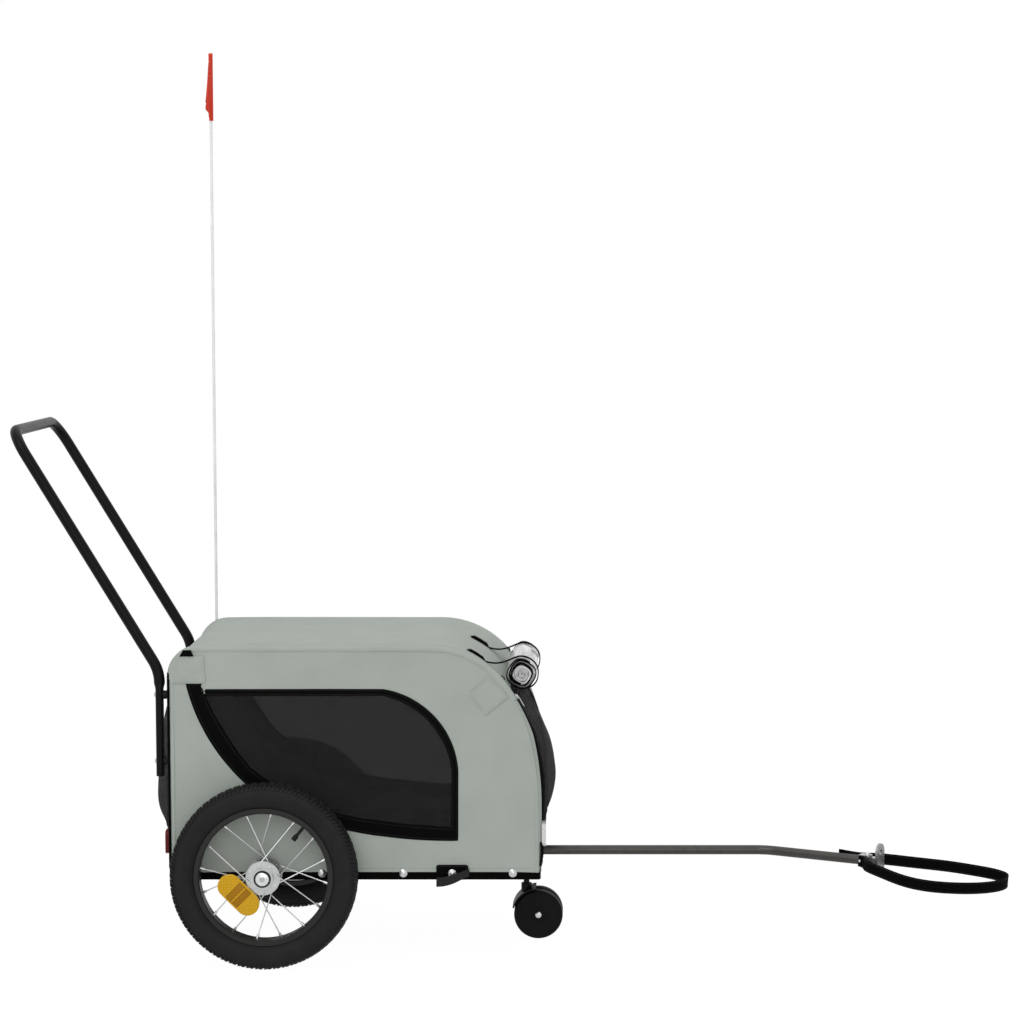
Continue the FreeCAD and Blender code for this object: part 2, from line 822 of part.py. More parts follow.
def handle_leg(y, shrink):
    """Flattened foot of one handle tube and the taper up to the round section."""
    foot = handle_foot - (overrun if shrink else 0)
    flat_top = handle_round_start - handle_taper
    flat = Part.Face(flat_section(y, foot, shrink)).extrude(AXIS_Z * (flat_top - foot))
    start = flat_section(y, flat_top, shrink)
    end = round_section(y, handle_round_start, handle_radius - shrink)
    return flat.fuse(Part.makeLoft([start, end], True, True))


def make_handle():
    start = vec(handle_x, -bow_half_spacing, handle_round_start)
    path = handle_path()
    outer = swept(path, circle_at(start, AXIS_Z, handle_radius))
    inner = swept(path, circle_at(start, AXIS_Z, handle_radius - handle_wall))
    for y in (-bow_half_spacing, bow_half_spacing):
        outer = outer.fuse(handle_leg(y, 0.0))
        inner = inner.fuse(handle_leg(y, handle_wall))
    handle = outer.cut(inner)
    for y in (-bow_half_spacing, bow_half_spacing):
        for z in handle_bolt_heights:
            hole = rod(vec(handle_x - handle_flat_depth, y, z), AXIS_X, bolt_radius + fit,
                       2 * handle_flat_depth)
            handle = handle.cut(hole)
    return handle


handle_back = handle_x - handle_flat_depth / 2
handle_front = handle_x + handle_flat_depth / 2
rear_skin = cabin_rear - seat_gap - panel_wall


def dome_head(start, axis, radius, height):
    """Round screw head that is domed away from its seat."""
    side = (AXIS_Z if abs(axis.z) < 0.5 else AXIS_X) * radius
    ball_radius = (radius * radius + height * height) / (2 * height)
    half_turn = math.asin(radius / ball_radius) / 2
    ball_middle = start + axis * (height - ball_radius)
    middle = ball_middle + side * (math.sin(half_turn) * ball_radius / radius)
    middle = middle + axis * (math.cos(half_turn) * ball_radius)
    top = start + axis * height
    edges = [line(start, start + side), arc(start + side, middle, top), line(top, start)]
    return face(edges).revolve(start, axis, 360)


def handle_places():
    return [(y, z) for y in (-bow_half_spacing, bow_half_spacing) for z in handle_bolt_heights]


def make_handle_bolts():
    bolts = []
    for y, z in handle_places():
        start = vec(handle_back, y, z)
        length = upright_front_face + nut_height - handle_back
        shank = rod(start, AXIS_X, bolt_radius, length)
        bolts.append(shank.fuse(dome_head(start, -AXIS_X, bolt_head_radius, bolt_head_height)))
    return bolts


def make_handle_nuts():
    nuts = []
    for y, z in handle_places():
        start = vec(upright_front_face + seat_gap / 3, y, z)
        corners = [start + vec(0, bolt_head_radius * cosine(60 * i), bolt_head_radius * sine(60 * i))
                   for i in range(6)]
        body = outline(corners).extrude(AXIS_X * nut_height)
        nuts.append(body.cut(rod(start - AXIS_X * overrun, AXIS_X, bolt_radius + fit,
                                 nut_height + 2 * overrun)))
    return nuts


def make_handle_spacers():
    return [pipe_stub(vec(handle_front, y, z), AXIS_X, spacer_radius, bolt_radius + fit,
                      rear_skin - handle_front) for y, z in handle_places()]


# Cabin skins
def make_side_panel():
    """Near (right) side panel with its window and the notches at its lower edge."""
    y = -cabin_half_width
    panel = profile_face(0.0, cabin_bottom, y).extrude(AXIS_Y * -panel_wall)
    hole = window_hole(y + overrun, window_lap).extrude(AXIS_Y * -(panel_wall + 2 * overrun))
    notch = rod(vec(0, y + overrun, wheel_radius), -AXIS_Y, axle_tube_radius + 2 * seat_gap,
                panel_wall + 2 * overrun)
    panel = panel.cut(hole).cut(notch)
    for x in rail_screw_places + (tab_x,):
        panel = panel.cut(rod(vec(x, y + overrun, rail_screw_z), -AXIS_Y, screw_radius + fit,
                              panel_wall + 2 * overrun))
    return panel


def make_window_mesh():
    y = -(cabin_half_width + (panel_wall - mesh_wall) / 2)
    return window_hole(y, window_lap - seat_gap).extrude(AXIS_Y * -mesh_wall)


def make_window_binding():
    y = -panel_outer
    band = window_face(window_hem_shares, y).extrude(AXIS_Y * -binding_wall)
    hole = window_face(window_net_shares, y + overrun).extrude(AXIS_Y * -(binding_wall + 2 * overrun))
    return band.cut(hole)


roof_sag_shares = {"start": 0.5, "turn": 0.85, "knee": 0.9, "end": 0.75}
roof_end_turn = door_top_turn - door_seam_turn
rear_skin_top = cabin_top - rear_corner_radius


def sag_at(y):
    """How far the cloth between the two arches hangs below them."""
    return roof_sag * (1 - (y / panel_outer) ** 2)


def roof_points(y, offset):
    """Outline of the roof cloth at one station: rear corner arc, then two nose arcs."""
    sag = sag_at(y)
    corner = rear_corner_radius + offset
    centre = vec(cabin_rear + rear_corner_radius, y, cabin_top - rear_corner_radius)
    knee = nose_turns[0]
    return [
        centre - AXIS_X * corner,
        centre + vec(-corner * sine(45), 0, corner * cosine(45)),
        centre + AXIS_Z * corner,
        nose_point(0, offset - roof_sag_shares["start"] * sag, y),
        nose_point(knee / 2, offset - roof_sag_shares["turn"] * sag, y),
        nose_point(knee, offset - roof_sag_shares["knee"] * sag, y),
        nose_point((knee + roof_end_turn) / 2, offset - roof_sag_shares["knee"] * sag, y),
        nose_point(roof_end_turn, offset - roof_sag_shares["end"] * sag, y),
    ]


def roof_section(y):
    """Closed section of the roof cloth, from the rear seam to the top of the door."""
    outer = roof_points(y, roof_seat + panel_wall)
    back = roof_points(y, roof_seat)[::-1]
    edges = [arc(*outer[0:3]), line(outer[2], outer[3]), arc(*outer[3:6]), arc(*outer[5:8])]
    edges.append(line(outer[7], back[0]))
    edges += [arc(*back[0:3]), arc(*back[2:5]), line(back[4], back[5]), arc(*back[5:8])]
    edges.append(line(back[7], outer[0]))
    return Part.Wire(edges)


def make_roof():
    stations = [-panel_outer, -panel_outer / 2, 0.0, panel_outer / 2, panel_outer]
    return Part.makeLoft([roof_section(y) for y in stations], True, False)


def make_front_panel():
    """Lower front skin and the strips beside the front door."""
    band = profile_band(-panel_outer, panel_outer)
    keep = block(nose_start, cabin_front + overrun, -panel_outer, panel_outer,
                 cabin_bottom, nose_point(door_top_turn, 0).z)
    door_gap = 2 * seat_gap
    doorway = block(nose_start, cabin_front + overrun, -(door_half_width + door_gap),
                    door_half_width + door_gap, door_bottom - door_gap, cabin_top)
    panel = band.common(keep).cut(doorway)
    hole = rod(vec(cabin_front - overrun, 0, drawbar_z), AXIS_X, drawbar_radius + seat_gap,
               2 * overrun + panel_wall)
    return panel.cut(hole)


def make_rear_panel():
    band = profile_band(-panel_outer, panel_outer)
    keep = block(cabin_rear - overrun, cabin_rear + rear_corner_radius / 2, -panel_outer, panel_outer,
                 cabin_bottom, rear_skin_top - seat_gap)
    door_gap = 2 * seat_gap
    doorway = block(cabin_rear - overrun, cabin_rear + overrun, -(door_half_width + door_gap),
                    door_half_width + door_gap, rear_door_bottom - door_gap, rear_door_top + door_gap)
    panel = band.common(keep).cut(doorway)
    for y, z in handle_places():
        panel = panel.cut(rod(vec(cabin_rear - overrun, y, z), AXIS_X, bolt_radius + fit, 2 * overrun))
    return panel


front_bulge_shares = {"upper": 0.7, "belly": 1.0, "lower": 0.62, "hem": 0.0}
front_bulge_turns = {"upper": 76.0, "belly": 85.0}


def front_door_section(y):
    """Closed section of the bulging front door at one station across the cabin."""
    share = 1 - (y / door_half_width) ** 2
    top_sag = roof_sag_shares["end"] * sag_at(y)
    middle_z = (door_bottom + nose_end_z) / 2
    loops = []
    for offset in (seat_gap + panel_wall, seat_gap):
        bulge = door_bulge * share
        x = cabin_front + offset
        loops.append([
            nose_point(door_top_turn + door_seam_turn, offset - top_sag, y),
            nose_point(front_bulge_turns["upper"], offset + front_bulge_shares["upper"] * bulge, y),
            nose_point(front_bulge_turns["belly"], offset + front_bulge_shares["belly"] * bulge, y),
            vec(x + front_bulge_shares["lower"] * bulge, y, middle_z),
            vec(x + front_bulge_shares["hem"] * bulge, y, door_bottom),
        ])
    outer, inner = loops
    back = inner[::-1]
    edges = [arc(*outer[0:3]), arc(*outer[2:5]), line(outer[4], inner[4])]
    edges += [arc(*back[0:3]), arc(*back[2:5]), line(inner[0], outer[0])]
    return Part.Wire(edges)


def rear_door_section(y):
    share = 1 - (y / door_half_width) ** 2
    bulge = rear_door_bulge * share + seat_gap
    middle_z = (rear_door_bottom + rear_door_top) / 2
    loops = []
    for offset in (seat_gap + panel_wall, seat_gap):
        x = cabin_rear - offset
        loops.append([vec(x, y, rear_door_top), vec(x - bulge, y, middle_z), vec(x, y, rear_door_bottom)])
    outer, inner = loops
    edges = [arc(*outer), line(outer[2], inner[2]), arc(*inner[::-1]), line(inner[0], outer[0])]
    return Part.Wire(edges)


def make_door(section):
    half = door_half_width
    stations = [-half, -half / 2, 0.0, half / 2, half]
    return Part.makeLoft([section(y) for y in stations], True, False)


rear_patch_shares = ((0.023, 0.958), (0.094, 0.958), (0.099, 0.843), (0.088, 0.838),
                     (0.046, 0.838), (0.003, 0.838))
nose_patch_shares = ((0.862, 0.867), (0.914, 0.779), (0.853, 0.698), (0.811, 0.795))


def make_patches():
    patches = []
    for shares in (rear_patch_shares, nose_patch_shares):
        points = [share_point(pair, -panel_outer) for pair in shares]
        patches += on_both_sides(outline(points).extrude(AXIS_Y * -patch_wall))
    return patches


def end_reflector(x, z, direction):
    """Rounded reflector block on the end skin, beside the door."""
    y = -(door_half_width + panel_outer) / 2
    x0, x1 = x, x + direction * reflector_thick
    body = block(x0, x1, y - reflector_wide / 2, y + reflector_wide / 2,
                 z - reflector_tall / 2, z + reflector_tall / 2)
    corners = [edge for edge in body.Edges if abs(edge.tangentAt(edge.FirstParameter).x) > 0.9]
    return body.makeFillet(reflector_thick, corners)


def make_rail_screws():
    screws = []
    for x in rail_screw_places:
        seat = vec(x, -panel_outer, rail_screw_z)
        head = dome_head(seat, -AXIS_Y, screw_head_radius, screw_head_height)
        screws.append(head.fuse(rod(seat, AXIS_Y, screw_radius, screw_length)))
    seat = vec(tab_x, -(panel_outer + patch_wall), rail_screw_z)
    head = dome_head(seat, -AXIS_Y, screw_head_radius, screw_head_height)
    screws.append(head.fuse(rod(seat, AXIS_Y, screw_radius, screw_length)))
    return screws + [other_side(screw) for screw in screws]


def make_webbing_tab():
    """Sewn base patch with a webbing tongue that curls out and back over it."""
    y = -panel_outer
    half = tab_base_length / 2
    base = block(tab_x - half, tab_x + half, y - patch_wall, y,
                 tab_z - tab_base_height / 2, tab_z + tab_base_height / 2)
    base = base.cut(rod(vec(tab_x, y + overrun, rail_screw_z), -AXIS_Y, screw_radius + fit, 2 * overrun))
    back = y - patch_wall
    points = [(tab_x + half - patch_wall, back), (tab_x + half + patch_wall, back - tab_reach / 3)]
    points += [(tab_x + half * along, back - tab_reach * out) for along, out in tab_tongue_shares]
    tongue = ribbon(points, strap_wall, tab_z - tab_base_height / 2, tab_webbing)
    return base.fuse(tongue)


# Rain cover rolled up above the front door
roll_middle = nose_point(roll_turn, roll_radius - roll_settle)
roll_x, roll_z = roll_middle.x, roll_middle.z
roll_step = (roll_radius - roll_sheet - roll_core) / (2 * roll_turns - 1)


def make_roll():
    """Spiral of clear sheet: half turns whose radius grows by a steady step."""
    edges_out, edges_in = [], []
    centre = vec(roll_x, -roll_half_length, roll_z)
    radius, middle, side = roll_core, centre, 1
    for _ in range(2 * roll_turns):
        for edges, reach in ((edges_in, radius), (edges_out, radius + roll_sheet)):
            start = middle + AXIS_X * (-side * reach)
            top = middle + AXIS_Z * (side * reach)
            end = middle + AXIS_X * (side * reach)
            edges.append(arc(start, top, end))
        middle = middle - AXIS_X * (side * roll_step)
        radius, side = radius + roll_step, -side
    first = line(edges_in[0].Vertexes[0].Point, edges_out[0].Vertexes[0].Point)
    last = line(edges_in[-1].Vertexes[-1].Point, edges_out[-1].Vertexes[-1].Point)
    sheet = Part.Face(Part.Wire(Part.__sortEdges__(edges_in + edges_out + [first, last])))
    return sheet.extrude(AXIS_Y * (2 * roll_half_length))


def make_ties():
    """Straps that are sewn to the roof and hold the rolled cover, one each side."""
    ties = []
    lift = roof_seat + panel_wall + 2 * seat_gap + tie_wall / 2
    first, last = tie_wrap_angles
    for y in (-tie_half_spacing, tie_half_spacing):
        bed = Part.Arc(*roof_points(y, lift)[3:6])
        root, leave = (bed.value(bed.FirstParameter + share * (bed.LastParameter - bed.FirstParameter))
                       for share in tie_root_shares)
        halfway = sum(tie_root_shares) / 2
        root_mid = bed.value(bed.FirstParameter + halfway * (bed.LastParameter - bed.FirstParameter))

        def wrap(angle):
            """Point round the roll, whose lower half turn is one step wider than the upper."""
            below = roll_step if angle < 0 else 0.0
            reach = roll_radius - roll_step + below + seat_gap + tie_wall / 2
            return vec(roll_x - below + reach * cosine(angle), y, roll_z + reach * sine(angle))

        path = Part.Wire([arc(root, root_mid, leave), line(leave, wrap(first)),
                          arc(wrap(first), wrap(first / 2), wrap(0)),
                          arc(wrap(0), wrap(last / 2), wrap(last))])
        along = (root_mid - root).normalize()
        up = vec(-along.z, 0, along.x)
        corners = [root + AXIS_Y * (a * tie_width / 2) + up * (b * tie_wall / 2)
                   for a, b in ((-1, -1), (1, -1), (1, 1), (-1, 1))]
        section = Part.makePolygon(corners + [corners[0]])
        ties.append(path.makePipeShell([section], True, False, 1))
    return ties


# Flag on the far (left) side
def make_flag_holder():
    start = vec(flag_x, flag_y, holder_bottom)
    sleeve = rod(start, AXIS_Z, holder_radius, holder_length)
    tab = block(flag_x - 2 * holder_radius, flag_x + 2 * holder_radius, panel_outer,
                flag_y - pole_radius - fit, holder_bottom, holder_bottom + holder_length)
    bore = rod(start + AXIS_Z * overrun, AXIS_Z, pole_radius + fit, holder_length)
    return sleeve.fuse(tab).cut(bore)


def make_flag_pole():
    start = vec(flag_x, flag_y, holder_bottom + overrun)
    return rod(start, AXIS_Z, pole_radius, flag_top - flag_wall - start.z)


def make_flag():
    """Pennant that hangs from the pole towards the cabin in soft waves."""
    step = flag_reach / (len(flag_wave_shares) - 1)
    near = flag_y - pole_radius - seat_gap - flag_wall / 2
    points = [(flag_x + flag_wave * side, near - step * i)
              for i, side in enumerate(flag_wave_shares)]
    sheet = ribbon(points, flag_wall, flag_top - flag_height, flag_height)
    low, tip_drop = flag_top - flag_height, flag_height * flag_tip_share
    tip_y = near - flag_reach - overrun
    cut_top = outline([vec(flag_x - 4 * flag_wave, near, flag_top),
                       vec(flag_x - 4 * flag_wave, tip_y, flag_top - tip_drop),
                       vec(flag_x - 4 * flag_wave, tip_y, flag_top + tip_drop)])
    cut_low = outline([vec(flag_x - 4 * flag_wave, near, low),
                       vec(flag_x - 4 * flag_wave, tip_y, low - tip_drop),
                       vec(flag_x - 4 * flag_wave, tip_y, low + tip_drop)])
    for shape in (cut_top, cut_low):
        sheet = sheet.cut(shape.extrude(AXIS_X * (8 * flag_wave)))
    return sheet


# Drawbar
hitch_turn = math.radians(drawbar_turn)
hitch_along = vec(math.cos(hitch_turn), -math.sin(hitch_turn), 0)
hitch_across = vec(math.sin(hitch_turn), math.cos(hitch_turn), 0)
drawbar_end = vec(drawbar_end_x, drawbar_end_y, drawbar_z)


def hitch_spot(along, across, up):
    """Point from the drawbar's end: along its last run, to the left of it, and up."""
    return drawbar_end + hitch_along * along + hitch_across * across + AXIS_Z * up


def hitch_block(along0, along1, half_width, low, high):
    corners = [hitch_spot(along0, -half_width, low), hitch_spot(along1, -half_width, low),
               hitch_spot(along1, half_width, low), hitch_spot(along0, half_width, low)]
    return outline(corners).extrude(AXIS_Z * (high - low))


def rivet_seat(along, side):
    """Where a rivet's head sits on the strap, on the left (1) or right (-1) of the drawbar."""
    return hitch_spot(along, side * (strap_end_half + strap_wall / 2 + seat_gap), 0)


def rivet_hole(along, side):
    start = rivet_seat(along, side) + hitch_across * (side * overrun)
    return rod(start, hitch_across * -side, rivet_radius + fit, rivet_length + seat_gap + overrun)


def make_receiver():
    start = vec(receiver_start, 0, drawbar_z)
    tube = pipe_stub(start, AXIS_X, receiver_radius, drawbar_radius + fit, rail_front - receiver_start)
    pin_start = vec(lock_pin_x, -2 * receiver_radius, drawbar_z)
    return tube.cut(rod(pin_start, AXIS_Y, lock_pin_radius + fit, 4 * receiver_radius))


def make_drawbar():
    points = [vec(drawbar_inner_end, 0, drawbar_z), vec(drawbar_bend_x, 0, drawbar_z), drawbar_end]
    path = rounded_path(points, [drawbar_bend_radius])
    bar = swept_tube(path, points[0], AXIS_X, drawbar_radius, drawbar_radius - drawbar_wall)
    pin_start = vec(lock_pin_x, -2 * receiver_radius, drawbar_z)
    bar = bar.cut(rod(pin_start, AXIS_Y, lock_pin_radius + fit, 4 * receiver_radius))
    return bar.cut(rivet_hole(far_rivet_along, 1))


def make_lock_pin():
    knob_y = -(receiver_radius + seat_gap)
    pin = rod(vec(lock_pin_x, knob_y, drawbar_z), AXIS_Y, lock_pin_radius, lock_pin_reach - knob_y)
    knob = rod(vec(lock_pin_x, knob_y, drawbar_z), -AXIS_Y, lock_pin_knob_radius, lock_pin_knob_length)
    return pin.fuse(knob)


# Hitch: fork, swivel block and axle plate

def make_yoke():
    plug = rod(hitch_spot(-plug_length, 0, 0), hitch_along, drawbar_radius - drawbar_wall - fit, plug_length)
    half_gap = yoke_gap / 2
    top = half_gap + yoke_wall
    cap = hitch_block(0.0, yoke_cap, yoke_width / 2, -top, top)
    cheeks = []
    for low, high in ((-top, -half_gap), (half_gap, top)):
        plate = hitch_block(0.0, yaw_pin_along, yoke_width / 2, low, high)
        eye = rod(hitch_spot(yaw_pin_along, 0, low), AXIS_Z, yoke_width / 2, high - low)
        cheeks.append(plate.fuse(eye))
    body = plug.fuse(cap).fuse(cheeks[0]).fuse(cheeks[1]).cut(rivet_hole(near_rivet_along, -1))
    return body.cut(rod(hitch_spot(yaw_pin_along, 0, -2 * top), AXIS_Z, hitch_pin_radius + fit, 4 * top))


def make_yaw_pin():
    top = yoke_gap / 2 + yoke_wall
    start = hitch_spot(yaw_pin_along, 0, -top - yoke_wall)
    pin = rod(start, AXIS_Z, hitch_pin_radius, 2 * top + yoke_wall)
    seat = hitch_spot(yaw_pin_along, 0, top)
    return pin.fuse(dome_head(seat, AXIS_Z, bolt_head_radius, bolt_head_height))



def make_swivel():
    half_gap = yoke_gap / 2 - seat_gap
    barrel_radius = hitch_pin_radius + yoke_wall
    barrel = rod(hitch_spot(yaw_pin_along, 0, -half_gap), AXIS_Z, barrel_radius, 2 * half_gap)
    arm = hitch_block(yaw_pin_along, pitch_pin_along, swivel_half_width, -half_gap, half_gap)
    nose = rod(hitch_spot(pitch_pin_along, -swivel_half_width, 0), hitch_across, half_gap,
               2 * swivel_half_width)
    body = barrel.fuse(arm).fuse(nose)
    body = body.cut(rod(hitch_spot(yaw_pin_along, 0, -2 * yoke_gap), AXIS_Z, hitch_pin_radius + fit,
                        4 * yoke_gap))
    return body.cut(rod(hitch_spot(pitch_pin_along, -2 * yoke_gap, 0), hitch_across,
                        hitch_pin_radius + fit, 4 * yoke_gap))


def make_pitch_pin():
    half = swivel_half_width + seat_gap + lug_wall
    tail = yoke_wall / 3
    pin = rod(hitch_spot(pitch_pin_along, -half - tail, 0), hitch_across, hitch_pin_radius,
              2 * half + tail)
    seat = hitch_spot(pitch_pin_along, half, 0)
    return pin.fuse(dome_head(seat, hitch_across, bolt_head_radius, bolt_head_height))


def make_hitch_plate():
    """Upright plate with the hole for the bicycle's axle, and two lugs for the pin."""
    low, high = hitch_plate_bottom - drawbar_z, hitch_hole_z - drawbar_z
    plate = hitch_block(hitch_plate_along, hitch_plate_along + hitch_plate_wall,
                        hitch_plate_half_width, low, high)
    crown = rod(hitch_spot(hitch_plate_along, 0, high), hitch_along, hitch_plate_half_width,
                hitch_plate_wall)
    body = plate.fuse(crown)
    lug_height = hitch_pin_radius + yoke_wall
    inner = swivel_half_width + seat_gap
    for side in (-1, 1):
        near = side * inner if side > 0 else -(inner + lug_wall)
        corners = [hitch_spot(pitch_pin_along, near, -lug_height),
                   hitch_spot(hitch_plate_along, near, -lug_height),
                   hitch_spot(hitch_plate_along, near + lug_wall, -lug_height),
                   hitch_spot(pitch_pin_along, near + lug_wall, -lug_height)]
        arm = outline(corners).extrude(AXIS_Z * (2 * lug_height))
        eye = rod(hitch_spot(pitch_pin_along, near, 0), hitch_across, lug_height, lug_wall)
        body = body.fuse(arm).fuse(eye)
    body = body.cut(rod(hitch_spot(pitch_pin_along, -2 * yoke_gap, 0), hitch_across,
                        hitch_pin_radius + fit, 4 * yoke_gap))
    hole = rod(hitch_spot(hitch_plate_along - overrun, 0, high), hitch_along, hitch_hole_radius,
               hitch_plate_wall + 2 * overrun)
    return body.cut(hole)


# Safety strap: plan route as shares of its reach, along and across the drawbar's end
strap_route_shares = (
    (0.0, 0.06), (0.09, 0.124), (0.30, 0.19), (0.52, 0.254), (0.67, 0.272), (0.835, 0.27),
    (0.945, 0.222), (0.998, 0.12), (0.993, -0.017), (0.927, -0.16), (0.827, -0.268),
    (0.69, -0.35), (0.564, -0.371), (0.434, -0.338), (0.26, -0.24), (0.1, -0.135),
)
# Its two ends: along as shares of the flank and of the yoke's cap, outwards as shares of the strap's wall
strap_far_shares = ((-1.0, 0.0), (-0.78, 0.0), (-0.56, 0.0), (-0.28, 0.5))
strap_near_shares = ((2.0, 3.1), (1.1, 0.5), (0.55, 0.1), (0.08, 0.1))


def make_strap():
    """Webbing loop on edge, from the drawbar's far side round to the near side of the yoke."""
    ends = strap_end_half
    route = [(along * strap_flank, ends + out * strap_wall) for along, out in strap_far_shares]
    route += [(along * strap_reach, across * strap_reach) for along, across in strap_route_shares]
    route += [(along * yoke_cap, -ends - out * strap_wall) for along, out in strap_near_shares]
    points = [hitch_spot(along, across, 0) for along, across in route]
    strap = ribbon([(p.x, p.y) for p in points], strap_wall, 0.0, strap_height)
    strap.translate(AXIS_Z * (drawbar_z - strap_height / 2))
    tip = hitch_spot(strap_reach, 0, 0)
    drop = math.degrees(math.atan2(strap_droop, tip.sub(drawbar_end).Length))
    strap.rotate(drawbar_end, hitch_across, drop)
    return strap.cut(rivet_hole(far_rivet_along, 1)).cut(rivet_hole(near_rivet_along, -1))


def make_strap_rivets():
    rivets = []
    for along, side in ((far_rivet_along, 1), (near_rivet_along, -1)):
        seat = rivet_seat(along, side)
        shank = rod(seat, hitch_across * -side, rivet_radius, rivet_length)
        rivets.append(shank.fuse(dome_head(seat, hitch_across * side, rivet_head_radius, rivet_head_height)))
    return rivets


# Caster under the front
caster_wheel_x = caster_x + caster_trail
caster_middle = vec(caster_wheel_x, 0, caster_radius)


def make_caster_bracket():
    plate = block(caster_x - caster_plate_half_width, rail_front, -caster_plate_half_width,
                  caster_plate_half_width, rail_bottom - caster_plate_wall, rail_bottom)
    top = rail_bottom - caster_plate_wall
    socket = rod(vec(caster_x, 0, caster_socket_bottom), AXIS_Z, caster_boss_radius,
                 top - caster_socket_bottom)
    bore = rod(vec(caster_x, 0, caster_socket_bottom - overrun), AXIS_Z, caster_stem_radius + fit,
               caster_stem_top + seat_gap - caster_socket_bottom + overrun)
    return plate.fuse(socket).cut(bore)


def make_caster_housing():
    half_width = caster_wheel_gap + caster_wheel_width
    inner = caster_radius + caster_hood_gap
    outer = inner + caster_hood_wall
    first, last = caster_hood_angles

    def rim_spot(radius, angle, y):
        return caster_middle + vec(radius * cosine(angle), y, radius * sine(angle))

    def sector(inner_radius, half):
        middle = (first + last) / 2
        edges = [arc(rim_spot(outer, first, -half), rim_spot(outer, middle, -half),
                     rim_spot(outer, last, -half))]
        if inner_radius:
            edges.append(line(rim_spot(outer, last, -half), rim_spot(inner_radius, last, -half)))
            edges.append(arc(rim_spot(inner_radius, last, -half), rim_spot(inner_radius, middle, -half),
                             rim_spot(inner_radius, first, -half)))
            edges.append(line(rim_spot(inner_radius, first, -half), rim_spot(outer, first, -half)))
        else:
            edges.append(line(rim_spot(outer, last, -half), rim_spot(0, 0, -half)))
            edges.append(line(rim_spot(0, 0, -half), rim_spot(outer, first, -half)))
        return face(edges).extrude(AXIS_Y * (2 * half))

    hood = sector(inner, half_width)
    web = sector(0.0, caster_web_half)
    hub = rod(caster_middle - AXIS_Y * caster_web_half, AXIS_Y, 2 * caster_axle_head_radius,
              2 * caster_web_half)
    boss_bottom = caster_boss_top - 2 * caster_boss_radius
    boss = rod(vec(caster_x, 0, boss_bottom), AXIS_Z, caster_boss_radius, caster_boss_top - boss_bottom)
    sweep = rod(caster_middle - AXIS_Y * (half_width + overrun), AXIS_Y, inner, 2 * (half_width + overrun))
    boss = boss.cut(sweep)
    stem = rod(vec(caster_x, 0, caster_boss_top - overrun), AXIS_Z, caster_stem_radius,
               caster_stem_top - caster_boss_top + overrun)
    body = hood.fuse(web).fuse(hub).fuse(boss).fuse(stem)
    return body.cut(rod(caster_middle - AXIS_Y * (2 * half_width), AXIS_Y, caster_axle_radius + fit,
                        4 * half_width))


def make_caster_wheels():
    near, far = caster_wheel_gap, caster_wheel_gap + caster_wheel_width
    rounding = caster_wheel_width / 5
    start = caster_middle - AXIS_Y * far
    wheel = rod(start, AXIS_Y, caster_radius, caster_wheel_width)
    rims = [edge for edge in wheel.Edges if edge.Length > caster_radius and hasattr(edge.Curve, "Radius")]
    wheel = wheel.makeFillet(rounding, rims)
    wheel = wheel.cut(rod(start - AXIS_Y * overrun, AXIS_Y, caster_axle_radius + fit, far + near))
    return on_both_sides(wheel)


def make_caster_bolt():
    half = caster_wheel_gap + caster_wheel_width + seat_gap
    shank = rod(caster_middle - AXIS_Y * half, AXIS_Y, caster_axle_radius, 2 * half)
    body = shank
    for direction in (-1, 1):
        seat = caster_middle + AXIS_Y * (direction * half)
        body = body.fuse(dome_head(seat, AXIS_Y * direction, caster_axle_head_radius,
                                   caster_axle_head_height))
    return body


# Building and saving
os.makedirs("parts", exist_ok=True)
models = {}


def keep(name, made):
    models[name] = made if isinstance(made, list) else [made]


def keep_pair(name, made):
    """Right piece as made and its mirror image on the left."""
    group = made if isinstance(made, list) else [made]
    models["right_" + name] = group
    models["left_" + name] = [other_side(shape) for shape in group]


keep_pair("tyre", make_tyre())
keep_pair("inner_tube", make_inner_tube())
keep_pair("rim", make_rim())
keep_pair("hub", make_hub())
keep_pair("spokes", make_spokes())
keep_pair("wheel_reflector", make_wheel_reflector())
keep_pair("release_button", make_button())
keep("wheel_axles", on_both_sides(make_axle()))
keep("hub_bearings", make_bearings() + [other_side(ring) for ring in make_bearings()])
keep_pair("side_rail", make_rail())
keep("cross_tubes", make_cross_tubes())
keep("axle_tube", make_axle_tube())
keep("cabin_hoops", on_both_sides(make_bow()) + [make_cross_bar()])
keep("floor_board", make_floor_board())
keep("floor_pad", make_floor_pad())
keep("handle_tube", make_handle())
keep("handle_bolts", make_handle_bolts() + make_handle_nuts())
keep("handle_spacers", make_handle_spacers())
keep_pair("side_panel", make_side_panel())
keep_pair("window_mesh", make_window_mesh())
keep("window_bindings", on_both_sides(make_window_binding()))
keep("roof_panel", make_roof())
keep("front_panel", make_front_panel())
keep("rear_panel", make_rear_panel())
keep("front_door", make_door(front_door_section))
keep("rear_door", make_door(rear_door_section))
keep("fabric_patches", make_patches())
front_skin = cabin_front + seat_gap + panel_wall
keep("front_reflectors", on_both_sides(end_reflector(front_skin, front_reflector_z, 1)))
keep("rear_reflectors", on_both_sides(end_reflector(rear_skin, rear_reflector_z, -1)))
keep("rail_screws", make_rail_screws())
keep("webbing_tabs", on_both_sides(make_webbing_tab()))
keep("rain_cover_roll", make_roll())
keep("rain_cover_ties", make_ties())
keep("flag_holder", make_flag_holder())
keep("flag_pole", make_flag_pole())
keep("flag", make_flag())
keep("drawbar_receiver", make_receiver())
keep("drawbar", make_drawbar())
keep("drawbar_lock_pin", make_lock_pin())
keep("hitch_yoke", make_yoke())
keep("hitch_yaw_pin", make_yaw_pin())
keep("hitch_swivel", make_swivel())
keep("hitch_pitch_pin", make_pitch_pin())
keep("hitch_plate", make_hitch_plate())
keep("safety_strap", make_strap())
